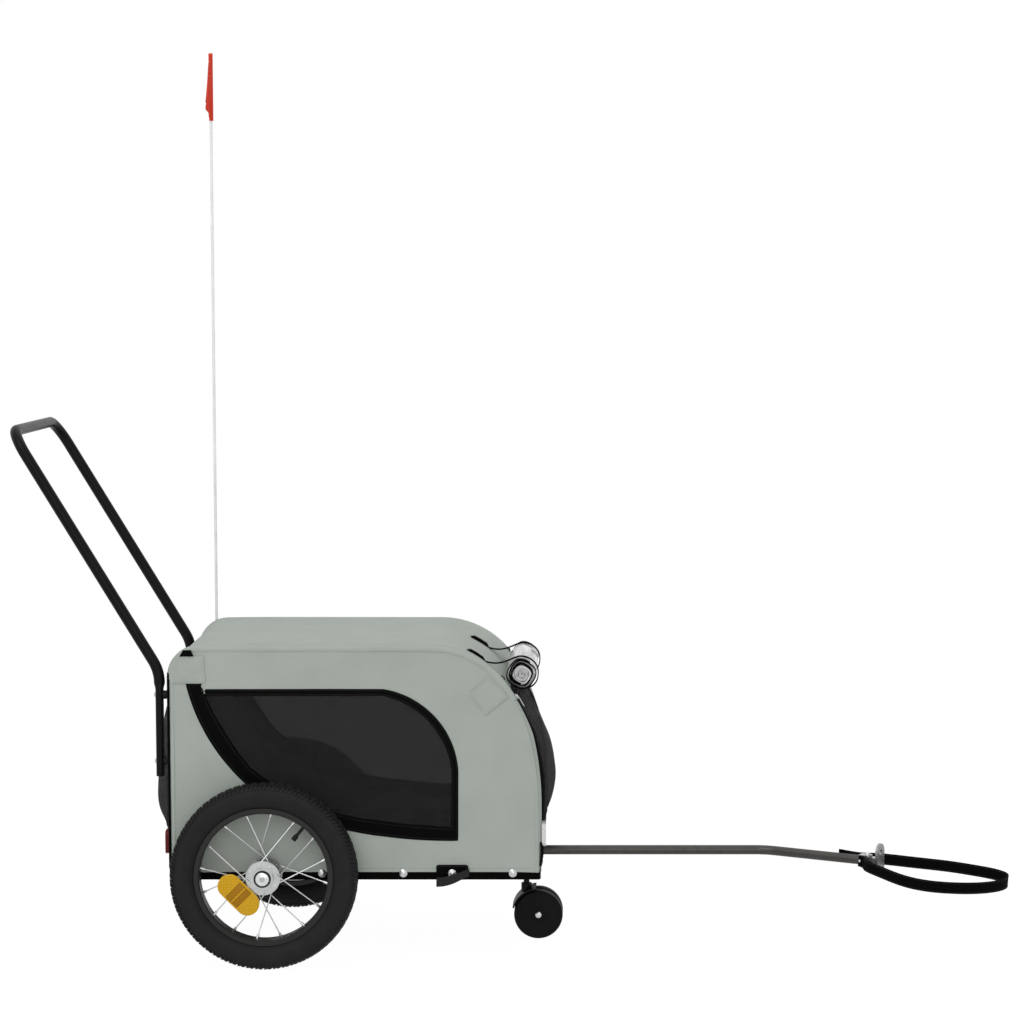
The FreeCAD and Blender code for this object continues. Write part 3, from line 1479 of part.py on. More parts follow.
keep("strap_rivets", make_strap_rivets())
keep("caster_bracket", make_caster_bracket())
keep("caster_housing", make_caster_housing())
keep("caster_wheels", make_caster_wheels())
keep("caster_axle_bolt", make_caster_bolt())

front_reach = make_strap().optimalBoundingBox(False).XMax
shift = -(rear_reach + front_reach) / 2
for name, shapes in models.items():
    moved = []
    for shape in shapes:
        for solid in shape.Solids:
            copy = solid.copy()
            copy.translate(AXIS_X * shift)
            moved.append(copy)
    whole = moved[0] if len(moved) == 1 else Part.makeCompound(moved)
    whole.exportStep("parts/" + name + ".step")
    bounds = whole.optimalBoundingBox(False)
    print("%-22s solids %2d valid %s volume %9.0f  x %7.1f %7.1f  y %7.1f %7.1f  z %7.1f %7.1f" % (
        name, len(moved), whole.isValid(), whole.Volume, bounds.XMin, bounds.XMax,
        bounds.YMin, bounds.YMax, bounds.ZMin, bounds.ZMax))
print("nodes", len(models), "axle line at x = %.3f" % shift)
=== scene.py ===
import bisect
import math

import bmesh
import bpy
from mathutils import Matrix, Vector, noise


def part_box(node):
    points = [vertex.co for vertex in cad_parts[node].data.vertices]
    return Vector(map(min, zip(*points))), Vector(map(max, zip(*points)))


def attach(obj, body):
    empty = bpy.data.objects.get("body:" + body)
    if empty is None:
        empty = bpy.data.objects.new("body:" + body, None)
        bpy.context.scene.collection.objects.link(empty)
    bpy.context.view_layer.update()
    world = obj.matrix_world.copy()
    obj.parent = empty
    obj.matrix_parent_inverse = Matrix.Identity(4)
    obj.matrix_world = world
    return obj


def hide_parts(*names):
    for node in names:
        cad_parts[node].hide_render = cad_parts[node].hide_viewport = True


# Looks of the pet bike trailer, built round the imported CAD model.
# Places are in millimetres from the wheel axle line, the middle plane and the ground;
# at() turns them into metres in the model's own axes.
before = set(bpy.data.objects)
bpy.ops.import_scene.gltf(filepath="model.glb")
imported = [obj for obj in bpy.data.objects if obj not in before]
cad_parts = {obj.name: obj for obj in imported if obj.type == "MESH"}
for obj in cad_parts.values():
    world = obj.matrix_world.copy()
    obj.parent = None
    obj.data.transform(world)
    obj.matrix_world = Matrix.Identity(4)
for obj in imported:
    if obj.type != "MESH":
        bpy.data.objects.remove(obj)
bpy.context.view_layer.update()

MM = 0.001
AXLE_LINE = -401.576
# Points closer than this are one point
WELD = 0.00001


def at(x, y, z):
    return Vector(((AXLE_LINE + x) * MM, y * MM, z * MM))


def sine(degrees):
    return math.sin(math.radians(degrees))


def cosine(degrees):
    return math.cos(math.radians(degrees))


# ---- Workbench: small steps that every piece is made with ----

def alone(obj):
    """Leaves one object selected and active."""
    bpy.ops.object.select_all(action="DESELECT")
    obj.select_set(True)
    bpy.context.view_layer.objects.active = obj


def added(name):
    """The primitive that was just added, under its own name and with its place in its mesh."""
    obj = bpy.context.active_object
    obj.name = name
    obj.data.name = name
    alone(obj)
    bpy.ops.object.transform_apply(location=True, rotation=True, scale=True)
    return obj


def open_mesh(obj):
    alone(obj)
    bpy.ops.object.mode_set(mode="EDIT")


def open_whole(obj):
    """Edit mode, with all of the mesh selected."""
    open_mesh(obj)
    bpy.ops.mesh.select_all(action="SELECT")


def close_mesh():
    bpy.ops.object.mode_set(mode="OBJECT")


def close_welded(limit=WELD, outward=True):
    """Merges the points that meet, turns the faces outward, and leaves edit mode."""
    bpy.ops.mesh.select_all(action="SELECT")
    bpy.ops.mesh.remove_doubles(threshold=limit)
    if outward:
        bpy.ops.mesh.normals_make_consistent(inside=False)
    close_mesh()


def choose(obj, kind, test):
    """In edit mode, selects the faces, edges or points that pass a test."""
    bpy.ops.mesh.select_mode(type=kind)
    bpy.ops.mesh.select_all(action="DESELECT")
    mesh = bmesh.from_edit_mesh(obj.data)
    items = {"VERT": mesh.verts, "EDGE": mesh.edges, "FACE": mesh.faces}[kind]
    for item in items:
        item.select_set(bool(test(item)))
    mesh.select_flush_mode()
    bmesh.update_edit_mesh(obj.data)


def apply(obj, kind, **settings):
    """Adds a modifier and makes it part of the mesh."""
    modifier = obj.modifiers.new(kind.title(), kind)
    for key, value in settings.items():
        setattr(modifier, key, value)
    alone(obj)
    bpy.ops.object.modifier_apply(modifier=modifier.name)


def smooth(obj, angle=35.0):
    alone(obj)
    bpy.ops.object.shade_smooth_by_angle(angle=math.radians(angle))


def join(name, pieces):
    bpy.ops.object.select_all(action="DESELECT")
    for piece in pieces:
        piece.select_set(True)
    bpy.context.view_layer.objects.active = pieces[0]
    if len(pieces) > 1:
        bpy.ops.object.join()
    pieces[0].name = name
    pieces[0].data.name = name
    return pieces[0]


def drawn(name, points):
    """A line that is drawn by extruding one point after another."""
    bpy.ops.mesh.primitive_plane_add(size=MM, location=points[0])
    obj = added(name)
    open_mesh(obj)
    bpy.ops.mesh.select_mode(type="VERT")
    bpy.ops.mesh.select_all(action="SELECT")
    bpy.ops.mesh.merge(type="CENTER")
    for before, after in zip(points, points[1:]):
        bpy.ops.mesh.extrude_region_move(TRANSFORM_OT_translate={"value": after - before})
    close_welded(outward=False)
    return obj


def turned(name, points, centre, axis, steps):
    """A drawn outline spun right round an axis."""
    obj = drawn(name, points)
    open_whole(obj)
    bpy.ops.mesh.spin(steps=steps, angle=math.tau, center=centre, axis=axis, dupli=False)
    close_welded()
    return obj


def block(name, low, high, bevel, segments=2):
    """A box between two corners with all its edges rounded."""
    bpy.ops.mesh.primitive_cube_add(size=1, location=(low + high) / 2)
    bpy.context.active_object.scale = high - low
    obj = added(name)
    open_whole(obj)
    bpy.ops.mesh.bevel(offset=bevel, segments=segments, affect="EDGES")
    close_mesh()
    return obj


def moved(obj, turn_angle, axis, place):
    """Turns a piece made at the origin and carries it to its place."""
    obj.data.transform(Matrix.Translation(place) @ Matrix.Rotation(turn_angle, 4, axis))
    return obj


def through(knots, x):
    """Value of a smooth curve through (x, value) knots."""
    places = [knot[0] for knot in knots]
    if x <= places[0]:
        return knots[0][1]
    if x >= places[-1]:
        return knots[-1][1]
    i = bisect.bisect_right(places, x) - 1
    (x0, v0), (x1, v1) = knots[i], knots[i + 1]
    before = knots[max(i - 1, 0)]
    after = knots[min(i + 2, len(knots) - 1)]
    slope0 = (v1 - before[1]) / (x1 - before[0])
    slope1 = (after[1] - v0) / (after[0] - x0)
    gap = x1 - x0
    t = (x - x0) / gap
    keep = (2 * t ** 3 - 3 * t ** 2 + 1) * v0 + (3 * t ** 2 - 2 * t ** 3) * v1
    return keep + (t ** 3 - 2 * t ** 2 + t) * gap * slope0 + (t ** 3 - t ** 2) * gap * slope1


def smooth_line(points, steps):
    """Points along a smooth curve through a route, evenly spaced."""
    marks = [0.0]
    for before, after in zip(points, points[1:]):
        marks.append(marks[-1] + (Vector(after) - Vector(before)).length)
    knots = [[(mark, point[i]) for mark, point in zip(marks, points)] for i in range(len(points[0]))]
    return [tuple(through(k, marks[-1] * step / steps) for k in knots) for step in range(steps + 1)]


def spaced(start, end, steps):
    return [start + (end - start) * step / steps for step in range(steps + 1)]


def between(one, two, steps):
    """Places on the straight line from one place to another, without the last."""
    return list(zip(spaced(one[0], two[0], steps), spaced(one[1], two[1], steps)))[:-1]


def round_trip(outline):
    """Pairs of neighbours on a closed outline."""
    return zip(outline, outline[1:] + outline[:1])


def length_of(line):
    return sum(math.dist(one, two) for one, two in zip(line, line[1:]))


def hung(name, columns, rows, cut, surface, wall, lid=35.0):
    """A sheet of cloth: cut(i, j) is a place on the flat cloth, surface(p, q) where that place hangs."""
    bpy.ops.mesh.primitive_grid_add(x_subdivisions=columns, y_subdivisions=rows, size=1, calc_uvs=True)
    obj = added(name)
    layer = obj.data.uv_layers[0]
    layer.name = "cloth"
    flat = []
    for vertex in obj.data.vertices:
        i, j = round((vertex.co.x + 0.5) * columns), round((vertex.co.y + 0.5) * rows)
        flat.append(cut(i, j))
        vertex.co = at(*surface(*flat[-1]))
    for loop in obj.data.loops:
        p, q = flat[loop.vertex_index][:2]
        layer.data[loop.index].uv = (p * MM, q * MM)
    open_mesh(obj)
    close_welded()
    if wall:
        apply(obj, "SOLIDIFY", thickness=wall * MM, offset=0.0)
    smooth(obj, lid)
    return obj


def ray_reach(outline, centre, angle):
    """How far an outline is from its centre in one direction."""
    dx, dy = math.cos(angle), math.sin(angle)
    best = 0.0
    for (x0, y0), (x1, y1) in round_trip(outline):
        ex, ey = x1 - x0, y1 - y0
        cross = dx * ey - dy * ex
        if abs(cross) < 1e-9:
            continue
        px, py = x0 - centre[0], y0 - centre[1]
        reach = (px * ey - py * ex) / cross
        share = (px * dy - py * dx) / cross
        if reach > 0 and -1e-6 <= share <= 1 + 1e-6:
            best = max(best, reach)
    return best


def restep(cloth, along, across=1.0):
    """Gives flat places that were counted in steps their length in mm."""
    flat = cloth.data.uv_layers["cloth"].data
    for loop in cloth.data.loops:
        u, v = flat[loop.index].uv
        flat[loop.index].uv = (u * along, v * across)


def ring_cut(outer, inner, centre, count, rings, grow=0.0):
    """Cloth cut between two outlines, in rays from a centre. With no inner outline it is whole."""
    angles = set(round(math.tau * i / count - math.pi, 6) for i in range(count))
    for outline in (outer, inner or []):
        for before, corner, after in zip(outline[-1:] + outline[:-1], outline, outline[1:] + outline[:1]):
            one = math.atan2(corner[1] - before[1], corner[0] - before[0])
            two = math.atan2(after[1] - corner[1], after[0] - corner[0])
            if abs((two - one + math.pi) % math.tau - math.pi) > 0.35:
                angles.add(round(math.atan2(corner[1] - centre[1], corner[0] - centre[0]), 6))
    angles = sorted(angles)
    angles.append(angles[0] + math.tau)
    far = [ray_reach(outer, centre, angle) for angle in angles]
    near = [ray_reach(inner, centre, angle) + grow if inner else 0.0 for angle in angles]

    def cut(i, j):
        reach = near[i] + (far[i] - near[i]) * j / rings
        return centre[0] + reach * math.cos(angles[i]), centre[1] + reach * math.sin(angles[i])

    return len(angles) - 1, rings, cut


def cloth_area(outline):
    return abs(sum(x0 * y1 - x1 * y0 for (x0, y0), (x1, y1) in round_trip(outline))) / 2 * MM * MM


def strip_size(outer, inner):
    """Width and length of the strip of tape that fills the space between two outlines."""
    length = sum(math.dist(one, two) for one, two in round_trip(outer)) * MM
    return (cloth_area(outer) - cloth_area(inner)) / length, length


def stitched(name, path, pitch=4.4, length=3.2, thread=0.28):
    """A row of stitches laid along a path: one stitch, arrayed, and bent along the path's curve."""
    curve = bpy.data.curves.new(name + "_guide", "CURVE")
    curve.dimensions = "3D"
    spline = curve.splines.new("POLY")
    spline.points.add(len(path) - 1)
    total = 0.0
    for i, point in enumerate(path):
        place = at(*point)
        spline.points[i].co = (*place, 1.0)
        if i:
            total += (place - last).length
        last = place
    guide = bpy.data.objects.new(name + "_guide", curve)
    bpy.context.scene.collection.objects.link(guide)
    bpy.ops.mesh.primitive_cylinder_add(vertices=6, radius=thread * MM, depth=length * MM,
                                        location=(length * MM / 2, 0, 0), rotation=(0, math.pi / 2, 0))
    obj = added(name)
    open_mesh(obj)
    choose(obj, "FACE", lambda face: len(face.verts) == 6)
    bpy.ops.mesh.inset(thickness=thread * 0.45 * MM, depth=thread * 0.5 * MM)
    close_mesh()
    apply(obj, "ARRAY", count=max(2, int(total / MM / pitch)), use_relative_offset=False,
          use_constant_offset=True, constant_offset_displace=(pitch * MM, 0, 0))
    apply(obj, "CURVE", object=guide, deform_axis="POS_X")
    bpy.data.objects.remove(guide)
    smooth(obj, 60)
    return obj


def done(obj, material, body="chassis", slot=None):
    """Gives a finished piece its material and the body that carries it."""
    obj.data.materials.clear()
    obj.data.materials.append(material)
    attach(obj, body)
    slot or slot_of[material]
    return obj


def sewn(name, rows, thread):
    """Rows of stitches as one piece, in their thread."""
    return done(join(name, rows), thread)


# ---- Finishes ----

def tone(red, green, blue):
    """Colour from its 0 to 255 screen values."""
    def linear(value):
        value /= 255
        return value / 12.92 if value <= 0.04045 else ((value + 0.055) / 1.055) ** 2.4
    return linear(red), linear(green), linear(blue), 1.0


def sums(tree, operation, one, two):
    """Output of a maths node on two numbers or sockets."""
    node = tree.nodes.new("ShaderNodeMath")
    node.operation = operation
    for socket, value in zip(node.inputs, (one, two)):
        if isinstance(value, bpy.types.NodeSocket):
            tree.links.new(value, socket)
        else:
            socket.default_value = value
    return node.outputs[0]


class Finish:
    """One material, with the nodes that give it its grain."""

    def __init__(self, name, colour, roughness, **sockets):
        self.material = bpy.data.materials.new(name)
        self.material.use_nodes = True
        self.tree = self.material.node_tree
        self.shader = self.tree.nodes["Principled BSDF"]
        self.colour = tone(*colour)
        self.shader.inputs["Base Color"].default_value = self.colour
        self.shader.inputs["Roughness"].default_value = roughness
        for key, value in sockets.items():
            self.shader.inputs[key.replace("_", " ")].default_value = value
        self.heights = []

    def node(self, kind, **inputs):
        node = self.tree.nodes.new(kind)
        for key, value in inputs.items():
            if hasattr(node, key):
                setattr(node, key, value)
            elif isinstance(value, bpy.types.NodeSocket):
                self.tree.links.new(value, node.inputs[key])
            else:
                node.inputs[key].default_value = value
        return node

    def maths(self, operation, one, two=0.0):
        return sums(self.tree, operation, one, two)

    def parts(self, place):
        return self.node("ShaderNodeSeparateXYZ", Vector=place).outputs

    def span(self, pattern, low, high, least=0.0, most=1.0):
        """A pattern's values from least to most, brought to between low and high."""
        node = self.node("ShaderNodeMapRange", Value=pattern)
        for key, value in (("From Min", least), ("From Max", most), ("To Min", low), ("To Max", high)):
            node.inputs[key].default_value = value
        return node.outputs["Result"]

    def drives(self, value, socket):
        self.tree.links.new(value, self.shader.inputs[socket])

    def place(self):
        return self.node("ShaderNodeTexCoord").outputs["Object"]

    def cloth_place(self):
        return self.node("ShaderNodeUVMap", uv_map="cloth").outputs["UV"]

    def mottle(self, size, detail=4.0, place=None):
        """Soft random pattern with spots of about the given size in mm."""
        grain = self.node("ShaderNodeTexNoise", Scale=1000.0 / size, Detail=detail,
                          Vector=place or self.place())
        return grain.outputs["Fac"]

    def tint(self, pattern, low, high):
        """Base colour between two strengths of the finish's own colour, by a pattern."""
        ramp = self.node("ShaderNodeValToRGB")
        self.tree.links.new(pattern, ramp.inputs["Fac"])
        ramp.color_ramp.elements[0].position = 0.3
        ramp.color_ramp.elements[1].position = 0.7
        for element, strength in zip(ramp.color_ramp.elements, (low, high)):
            element.color = tuple(min(1.0, c * strength) for c in self.colour[:3]) + (1.0,)
        self.drives(ramp.outputs["Color"], "Base Color")

    def sheen_marks(self, pattern, low, high):
        """Roughness between two values, by a pattern."""
        self.drives(self.span(pattern, low, high), "Roughness")

    def raised(self, pattern, height):
        """Bump from a pattern, of the given height in mm."""
        bump = self.node("ShaderNodeBump", Strength=1.0, Distance=height * MM, Height=pattern)
        if self.heights:
            self.tree.links.new(self.heights[-1], bump.inputs["Normal"])
        self.heights.append(bump.outputs["Normal"])
        self.drives(bump.outputs["Normal"], "Normal")

    def threads(self, pitch):
        """Woven threads over and under each other, on the flat cloth's own axes."""
        parts = self.parts(self.cloth_place())
        turn = math.tau / (pitch * MM)
        one, two = (self.maths("COSINE", self.maths("MULTIPLY", parts[axis], turn)) for axis in "XY")
        return self.maths("MULTIPLY", one, two)


def cloth_finish(name, colour, pitch=0.9, roughness=0.85, depth=0.05, shine=0.25):
    """Coated polyester: fine plain weave with faint painted shade between its threads, faint unevenness, and
    a soft sheen.
    """
    finish = Finish(name, colour, roughness, Specular_IOR_Level=shine, Sheen_Weight=0.08,
                    Sheen_Roughness=0.5)
    threads = finish.threads(pitch)
    cloud = finish.mottle(60.0, 3.0)
    # Tone at random by the cloud, and painted shade: a little darker between the threads, on the same pattern
    # as the bump
    finish.tint(finish.maths("ADD", finish.maths("MULTIPLY", threads, 0.18), cloud), 0.955, 1.04)
    finish.raised(threads, depth)
    finish.raised(finish.mottle(16.0, 2.0), 0.22)
    finish.sheen_marks(finish.mottle(9.0), roughness - 0.08, roughness + 0.06)
    return finish.material


def net_finish(name, colour, pitch, openness):
    """Knitted net: dark threads with small openings that let a share of the light through."""
    finish = Finish(name, colour, 0.75, Specular_IOR_Level=0.12)
    knit = finish.threads(pitch)
    finish.drives(finish.span(knit, 1.0 - 0.5 * openness, 1.0 - 1.5 * openness, -1.0), "Alpha")
    finish.tint(finish.mottle(25.0, 2.0), 0.85, 1.15)
    finish.raised(knit, -0.1)
    return finish.material


def tape_finish(name, colour, rib=1.1, roughness=0.7, shine=0.015):
    """Woven tape and webbing: ribs across its length, with painted shade in the grooves and painted light on
    the ribs.
    """
    finish = Finish(name, colour, roughness, Specular_IOR_Level=shine)
    parts = finish.parts(finish.cloth_place())
    turn = math.tau / (rib * MM)
    across = finish.maths("COSINE", finish.maths("MULTIPLY", parts["X"], turn))
    along = finish.maths("COSINE", finish.maths("MULTIPLY", parts["Y"], turn * 0.72))
    ribs = finish.maths("ADD", finish.maths("MULTIPLY", across, 0.65), finish.maths("MULTIPLY", along, 0.35))
    # Painted shade and light: darker in the grooves and lighter on the ribs, on the same pattern as the bump
    finish.tint(finish.maths("ADD", finish.maths("MULTIPLY", ribs, 0.3), 0.5), 0.7, 1.25)
    finish.raised(ribs, 0.10)
    return finish.material


def paint_finish(name, colour, roughness, shine=0.5, grain=0.02):
    """Powder coat: fine orange peel and slightly uneven gloss."""
    finish = Finish(name, colour, roughness, Specular_IOR_Level=shine)
    finish.raised(finish.mottle(1.2, 2.0), grain)
    finish.sheen_marks(finish.mottle(14.0), roughness - 0.06, roughness + 0.1)
    finish.tint(finish.mottle(40.0), 0.9, 1.1)
    return finish.material


def metal_finish(name, colour, roughness, grain=3.0):
    """Plated metal: fine marks that vary its gloss."""
    finish = Finish(name, colour, roughness, Metallic=1.0)
    marks = finish.mottle(grain, 6.0)
    finish.sheen_marks(marks, roughness - 0.07, roughness + 0.12)
    finish.tint(finish.mottle(12.0), 0.9, 1.06)
    finish.raised(marks, 0.01)
    return finish.material


def plastic_finish(name, colour, roughness, shine=0.4, pebble=0.8):
    """Moulded plastic with a fine pebbled skin."""
    finish = Finish(name, colour, roughness, Specular_IOR_Level=shine)
    cells = finish.node("ShaderNodeTexVoronoi", Scale=1000.0 / pebble, Vector=finish.place())
    finish.raised(cells.outputs["Distance"], 0.03)
    finish.sheen_marks(finish.mottle(8.0), roughness - 0.05, roughness + 0.1)
    finish.tint(finish.mottle(30.0), 0.92, 1.08)
    return finish.material


def rubber_finish(name, colour, roughness, shine):
    finish = Finish(name, colour, roughness, Specular_IOR_Level=shine)
    finish.raised(finish.mottle(0.9, 3.0), 0.05)
    finish.sheen_marks(finish.mottle(7.0), roughness - 0.08, roughness + 0.08)
    finish.tint(finish.mottle(22.0), 0.85, 1.15)
    return finish.material


def prism_finish(name, colour, gloss=1.0):
    """Reflector plastic: glossy skin over a field of small prisms, each with a painted glint in its middle
    and painted shade at its edge.
    """
    finish = Finish(name, colour, 0.22, Specular_IOR_Level=0.5 * gloss, Coat_Weight=0.5 * gloss,
                    Coat_Roughness=0.08)
    cells = finish.node("ShaderNodeTexVoronoi", Scale=1000.0 / 2.6, Randomness=0.0, Vector=finish.place())
    finish.raised(cells.outputs["Distance"], 0.9)
    # Painted glint and shade: each prism lighter than the finish's own colour in its middle and darker at its
    # edge
    finish.tint(cells.outputs["Distance"], 1.2, 0.72)
    return finish.material


cabin_cloth = cloth_finish("cabin_cloth", (160, 167, 160))
tyre_rubber = rubber_finish("tyre_rubber", (28, 28, 28), 0.58, 0.14)
tube_rubber = rubber_finish("tube_rubber", (16, 16, 16), 0.5, 0.2)
rim_paint = paint_finish("rim_paint", (22, 21, 20), 0.34, shine=0.3)
cap_chrome = metal_finish("cap_chrome", (214, 215, 215), 0.2)
hub_chrome = metal_finish("hub_chrome", (186, 188, 188), 0.26)
spoke_steel = metal_finish("spoke_steel", (205, 206, 206), 0.3)
button_steel = metal_finish("button_steel", (176, 178, 178), 0.28)
bearing_steel = metal_finish("bearing_steel", (120, 121, 122), 0.35)
zinc_steel = metal_finish("zinc_steel", (188, 190, 191), 0.36)
bolt_steel = metal_finish("bolt_steel", (196, 197, 196), 0.3)
frame_paint = paint_finish("frame_paint", (8, 8, 7), 0.45, shine=0.012)
handle_paint = paint_finish("handle_paint", (9, 9, 9), 0.34, shine=0.11)
drawbar_paint = metal_finish("drawbar_paint", (72, 70, 68), 0.34)
plate_steel = metal_finish("plate_steel", (150, 150, 150), 0.4)
amber_prism = prism_finish("amber_prism", (218, 168, 6), 0.35)
amber_panel = prism_finish("amber_panel", (166, 116, 10), 0.2)
white_prism = prism_finish("white_prism", (204, 204, 202), 0.6)
red_prism = prism_finish("red_prism", (92, 14, 14), 0.25)
binding_tape = tape_finish("binding_tape", (10, 11, 10))
strap_webbing = tape_finish("strap_webbing", (10, 10, 10), rib=1.5)
tab_webbing = tape_finish("tab_webbing", (44, 44, 44), rib=1.3, roughness=0.5)
window_net = net_finish("window_net", (34, 34, 34), 1.5, 0.32)
door_net = net_finish("door_net", (38, 38, 38), 1.5, 0.34)
grey_thread = cloth_finish("grey_thread", (150, 157, 150), pitch=0.4)
dark_thread = cloth_finish("dark_thread", (34, 36, 34), pitch=0.4)
pad_cloth = cloth_finish("pad_cloth", (46, 47, 48), pitch=1.2)
board_ply = plastic_finish("board_ply", (40, 38, 36), 0.7, shine=0.2)
spacer_plastic = plastic_finish("spacer_plastic", (16, 16, 16), 0.5, shine=0.15)
plug_plastic = plastic_finish("plug_plastic", (9, 9, 9), 0.5, shine=0.1)
holder_plastic = plastic_finish("holder_plastic", (18, 18, 18), 0.55, shine=0.15)
caster_plastic = plastic_finish("caster_plastic", (11, 11, 11), 0.42, shine=0.13)
caster_tread = plastic_finish("caster_tread", (12, 12, 12), 0.5, shine=0.1)
zip_coil = plastic_finish("zip_coil", (12, 12, 12), 0.45, shine=0.06)
pole_fibre = plastic_finish("pole_fibre", (226, 226, 226), 0.45)


def flag_finish():
    finish = Finish("flag_cloth", (214, 62, 42), 0.8, Specular_IOR_Level=0.06)
    threads = finish.threads(0.8)
    # Tone at random by the mottle, and painted shade: a little darker between the threads, on the same
    # pattern as the bump
    finish.tint(finish.maths("ADD", finish.maths("MULTIPLY", threads, 0.15), finish.mottle(30.0)), 0.93, 1.06)
    finish.raised(threads, 0.03)
    return finish.material


def film_finish():
    """Clear soft sheet, rolled: see-through in places, with glossy ripples along the roll and streaks of
    painted reflection, lighter and darker, in its colour.
    """
    finish = Finish("clear_film", (240, 242, 243), 0.1, Specular_IOR_Level=0.7, Transmission_Weight=0.18)
    stretch = finish.node("ShaderNodeMapping", Vector=finish.cloth_place())
    stretch.inputs["Scale"].default_value = (1.0, 0.12, 1.0)
    ripples_and_painted_reflections = finish.mottle(7.0, 3.0, stretch.outputs["Vector"])
    # Painted reflections: streaks along the roll, from darker to lighter than the sheet's own colour, on the
    # same pattern as the ripples
    finish.tint(ripples_and_painted_reflections, 0.66, 1.2)
    finish.raised(ripples_and_painted_reflections, 0.9)
    haze = finish.span(finish.mottle(18.0, 3.0, stretch.outputs["Vector"]), 0.45, 0.95, 0.35, 0.68)
    across = finish.parts(finish.cloth_place())["Y"]
    # Opaque cut edges show the sheet's pale colour at the roll's end in place of the shade inside the roll:
    # painted light
    cut_edge = finish.maths("GREATER_THAN", finish.maths("ABSOLUTE", across), 0.1195)
    finish.drives(finish.maths("MAXIMUM", haze, cut_edge), "Alpha")
    return finish.material


flag_cloth = flag_finish()
clear_film = film_finish()

slot_of = {
    cabin_cloth: "cabin_fabric", grey_thread: "cabin_fabric", binding_tape: "binding_fabric",
    dark_thread: "binding_fabric", zip_coil: "binding_fabric", tab_webbing: "binding_fabric",
    window_net: "window_net", door_net: "window_net", bolt_steel: "bolt_steel", clear_film: "clear_sheet",
    flag_cloth: "flag_fabric", strap_webbing: "strap_webbing", tyre_rubber: "tyre_rubber",
    tube_rubber: "spacer_plastic", cap_chrome: "zinc_steel", amber_prism: "amber_reflector",
    amber_panel: "amber_reflector", caster_tread: "caster_tread", plug_plastic: "spacer_plastic",
    pad_cloth: "pad_fabric",
}


# ---- Camera, light and floor ----

CAMERA_PLACE = (0.1147, -4.7884, 1.099)
CAMERA_DOWN = 5.04
WHITE = (1.0, 1.0, 1.0, 1.0)
# Each lamp's place, its size in metres and its power in watts
LAMPS = {"key": ((-1.5, -2.6, 3.4), 2.4, 44.0), "top": ((0.3, 0.6, 3.8), 3.0, 22.0),
         "front": ((0.2, -4.4, 1.5), 3.0, 26.0)}
LAMPS_AIM = Vector((0.0, 0.0, 0.3))


def stood_up(name, thing, place, turn):
    """Puts a camera or a lamp in the studio."""
    holder = bpy.data.objects.new(name, thing)
    holder.location = place
    holder.rotation_euler = turn
    bpy.context.scene.collection.objects.link(holder)
    return holder


def emptied(tree):
    tree.nodes.clear()
    return tree


def light_node(tree, kind, colour, strength=None):
    node = tree.nodes.new(kind)
    node.inputs["Color"].default_value = colour
    if strength is not None:
        node.inputs["Strength"].default_value = strength
    return node


def seen_directly(tree):
    """1 where the camera sees a place itself, in a mirror or through glass, else 0."""
    path = tree.nodes.new("ShaderNodeLightPath").outputs
    straight = sums(tree, "MAXIMUM", path["Is Camera Ray"], path["Is Glossy Ray"])
    return sums(tree, "MAXIMUM", straight, path["Is Transmission Ray"])


def shown_by(tree, share, unseen, seen, output):
    """Mixes the look of a place that only gives light with its look to the camera."""
    mix = tree.nodes.new("ShaderNodeMixShader")
    for socket, source in zip(mix.inputs, (share, unseen.outputs[0], seen.outputs[0])):
        tree.links.new(source, socket)
    tree.links.new(mix.outputs[0], tree.nodes.new(output).inputs["Surface"])


def set_up_studio():
    camera = bpy.data.cameras.new("photo_camera")
    camera.lens = 100.0
    camera.sensor_width = 36.0
    camera.shift_x = -0.0684
    camera.shift_y = 0.0289
    camera.clip_end = 60.0
    scene = bpy.context.scene
    scene.camera = stood_up("photo_camera", camera, CAMERA_PLACE, (math.radians(90 - CAMERA_DOWN), 0.0, 0.0))
    scene.view_settings.view_transform = "Standard"

    scene.world = bpy.data.worlds.new("studio")
    scene.world.use_nodes = True
    tree = emptied(scene.world.node_tree)
    shown_by(tree, seen_directly(tree), light_node(tree, "ShaderNodeBackground", WHITE, 0.66),
             light_node(tree, "ShaderNodeBackground", WHITE, 1.0), "ShaderNodeOutputWorld")

    for name, (place, size, power) in LAMPS.items():
        lamp = bpy.data.lights.new(name, "AREA")
        lamp.size = size
        lamp.energy = power
        stood_up(name, lamp, place, (LAMPS_AIM - Vector(place)).to_track_quat("-Z", "Y").to_euler())

    bpy.ops.mesh.primitive_plane_add(size=14.0, location=(0.0, 0.0, 0.0))
    floor = added("studio_floor")
    pale = bpy.data.materials.new("pale_floor")
    pale.use_nodes = True
    tree = emptied(pale.node_tree)
    shown_by(tree, sums(tree, "MULTIPLY", seen_directly(tree), 0.95),
             light_node(tree, "ShaderNodeBsdfDiffuse", (0.9, 0.9, 0.9, 1.0)),
             light_node(tree, "ShaderNodeEmission", WHITE, 1.03), "ShaderNodeOutputMaterial")
    floor.data.materials.append(pale)


set_up_studio()


# ---- Finishes of the CAD pieces that keep their shape ----

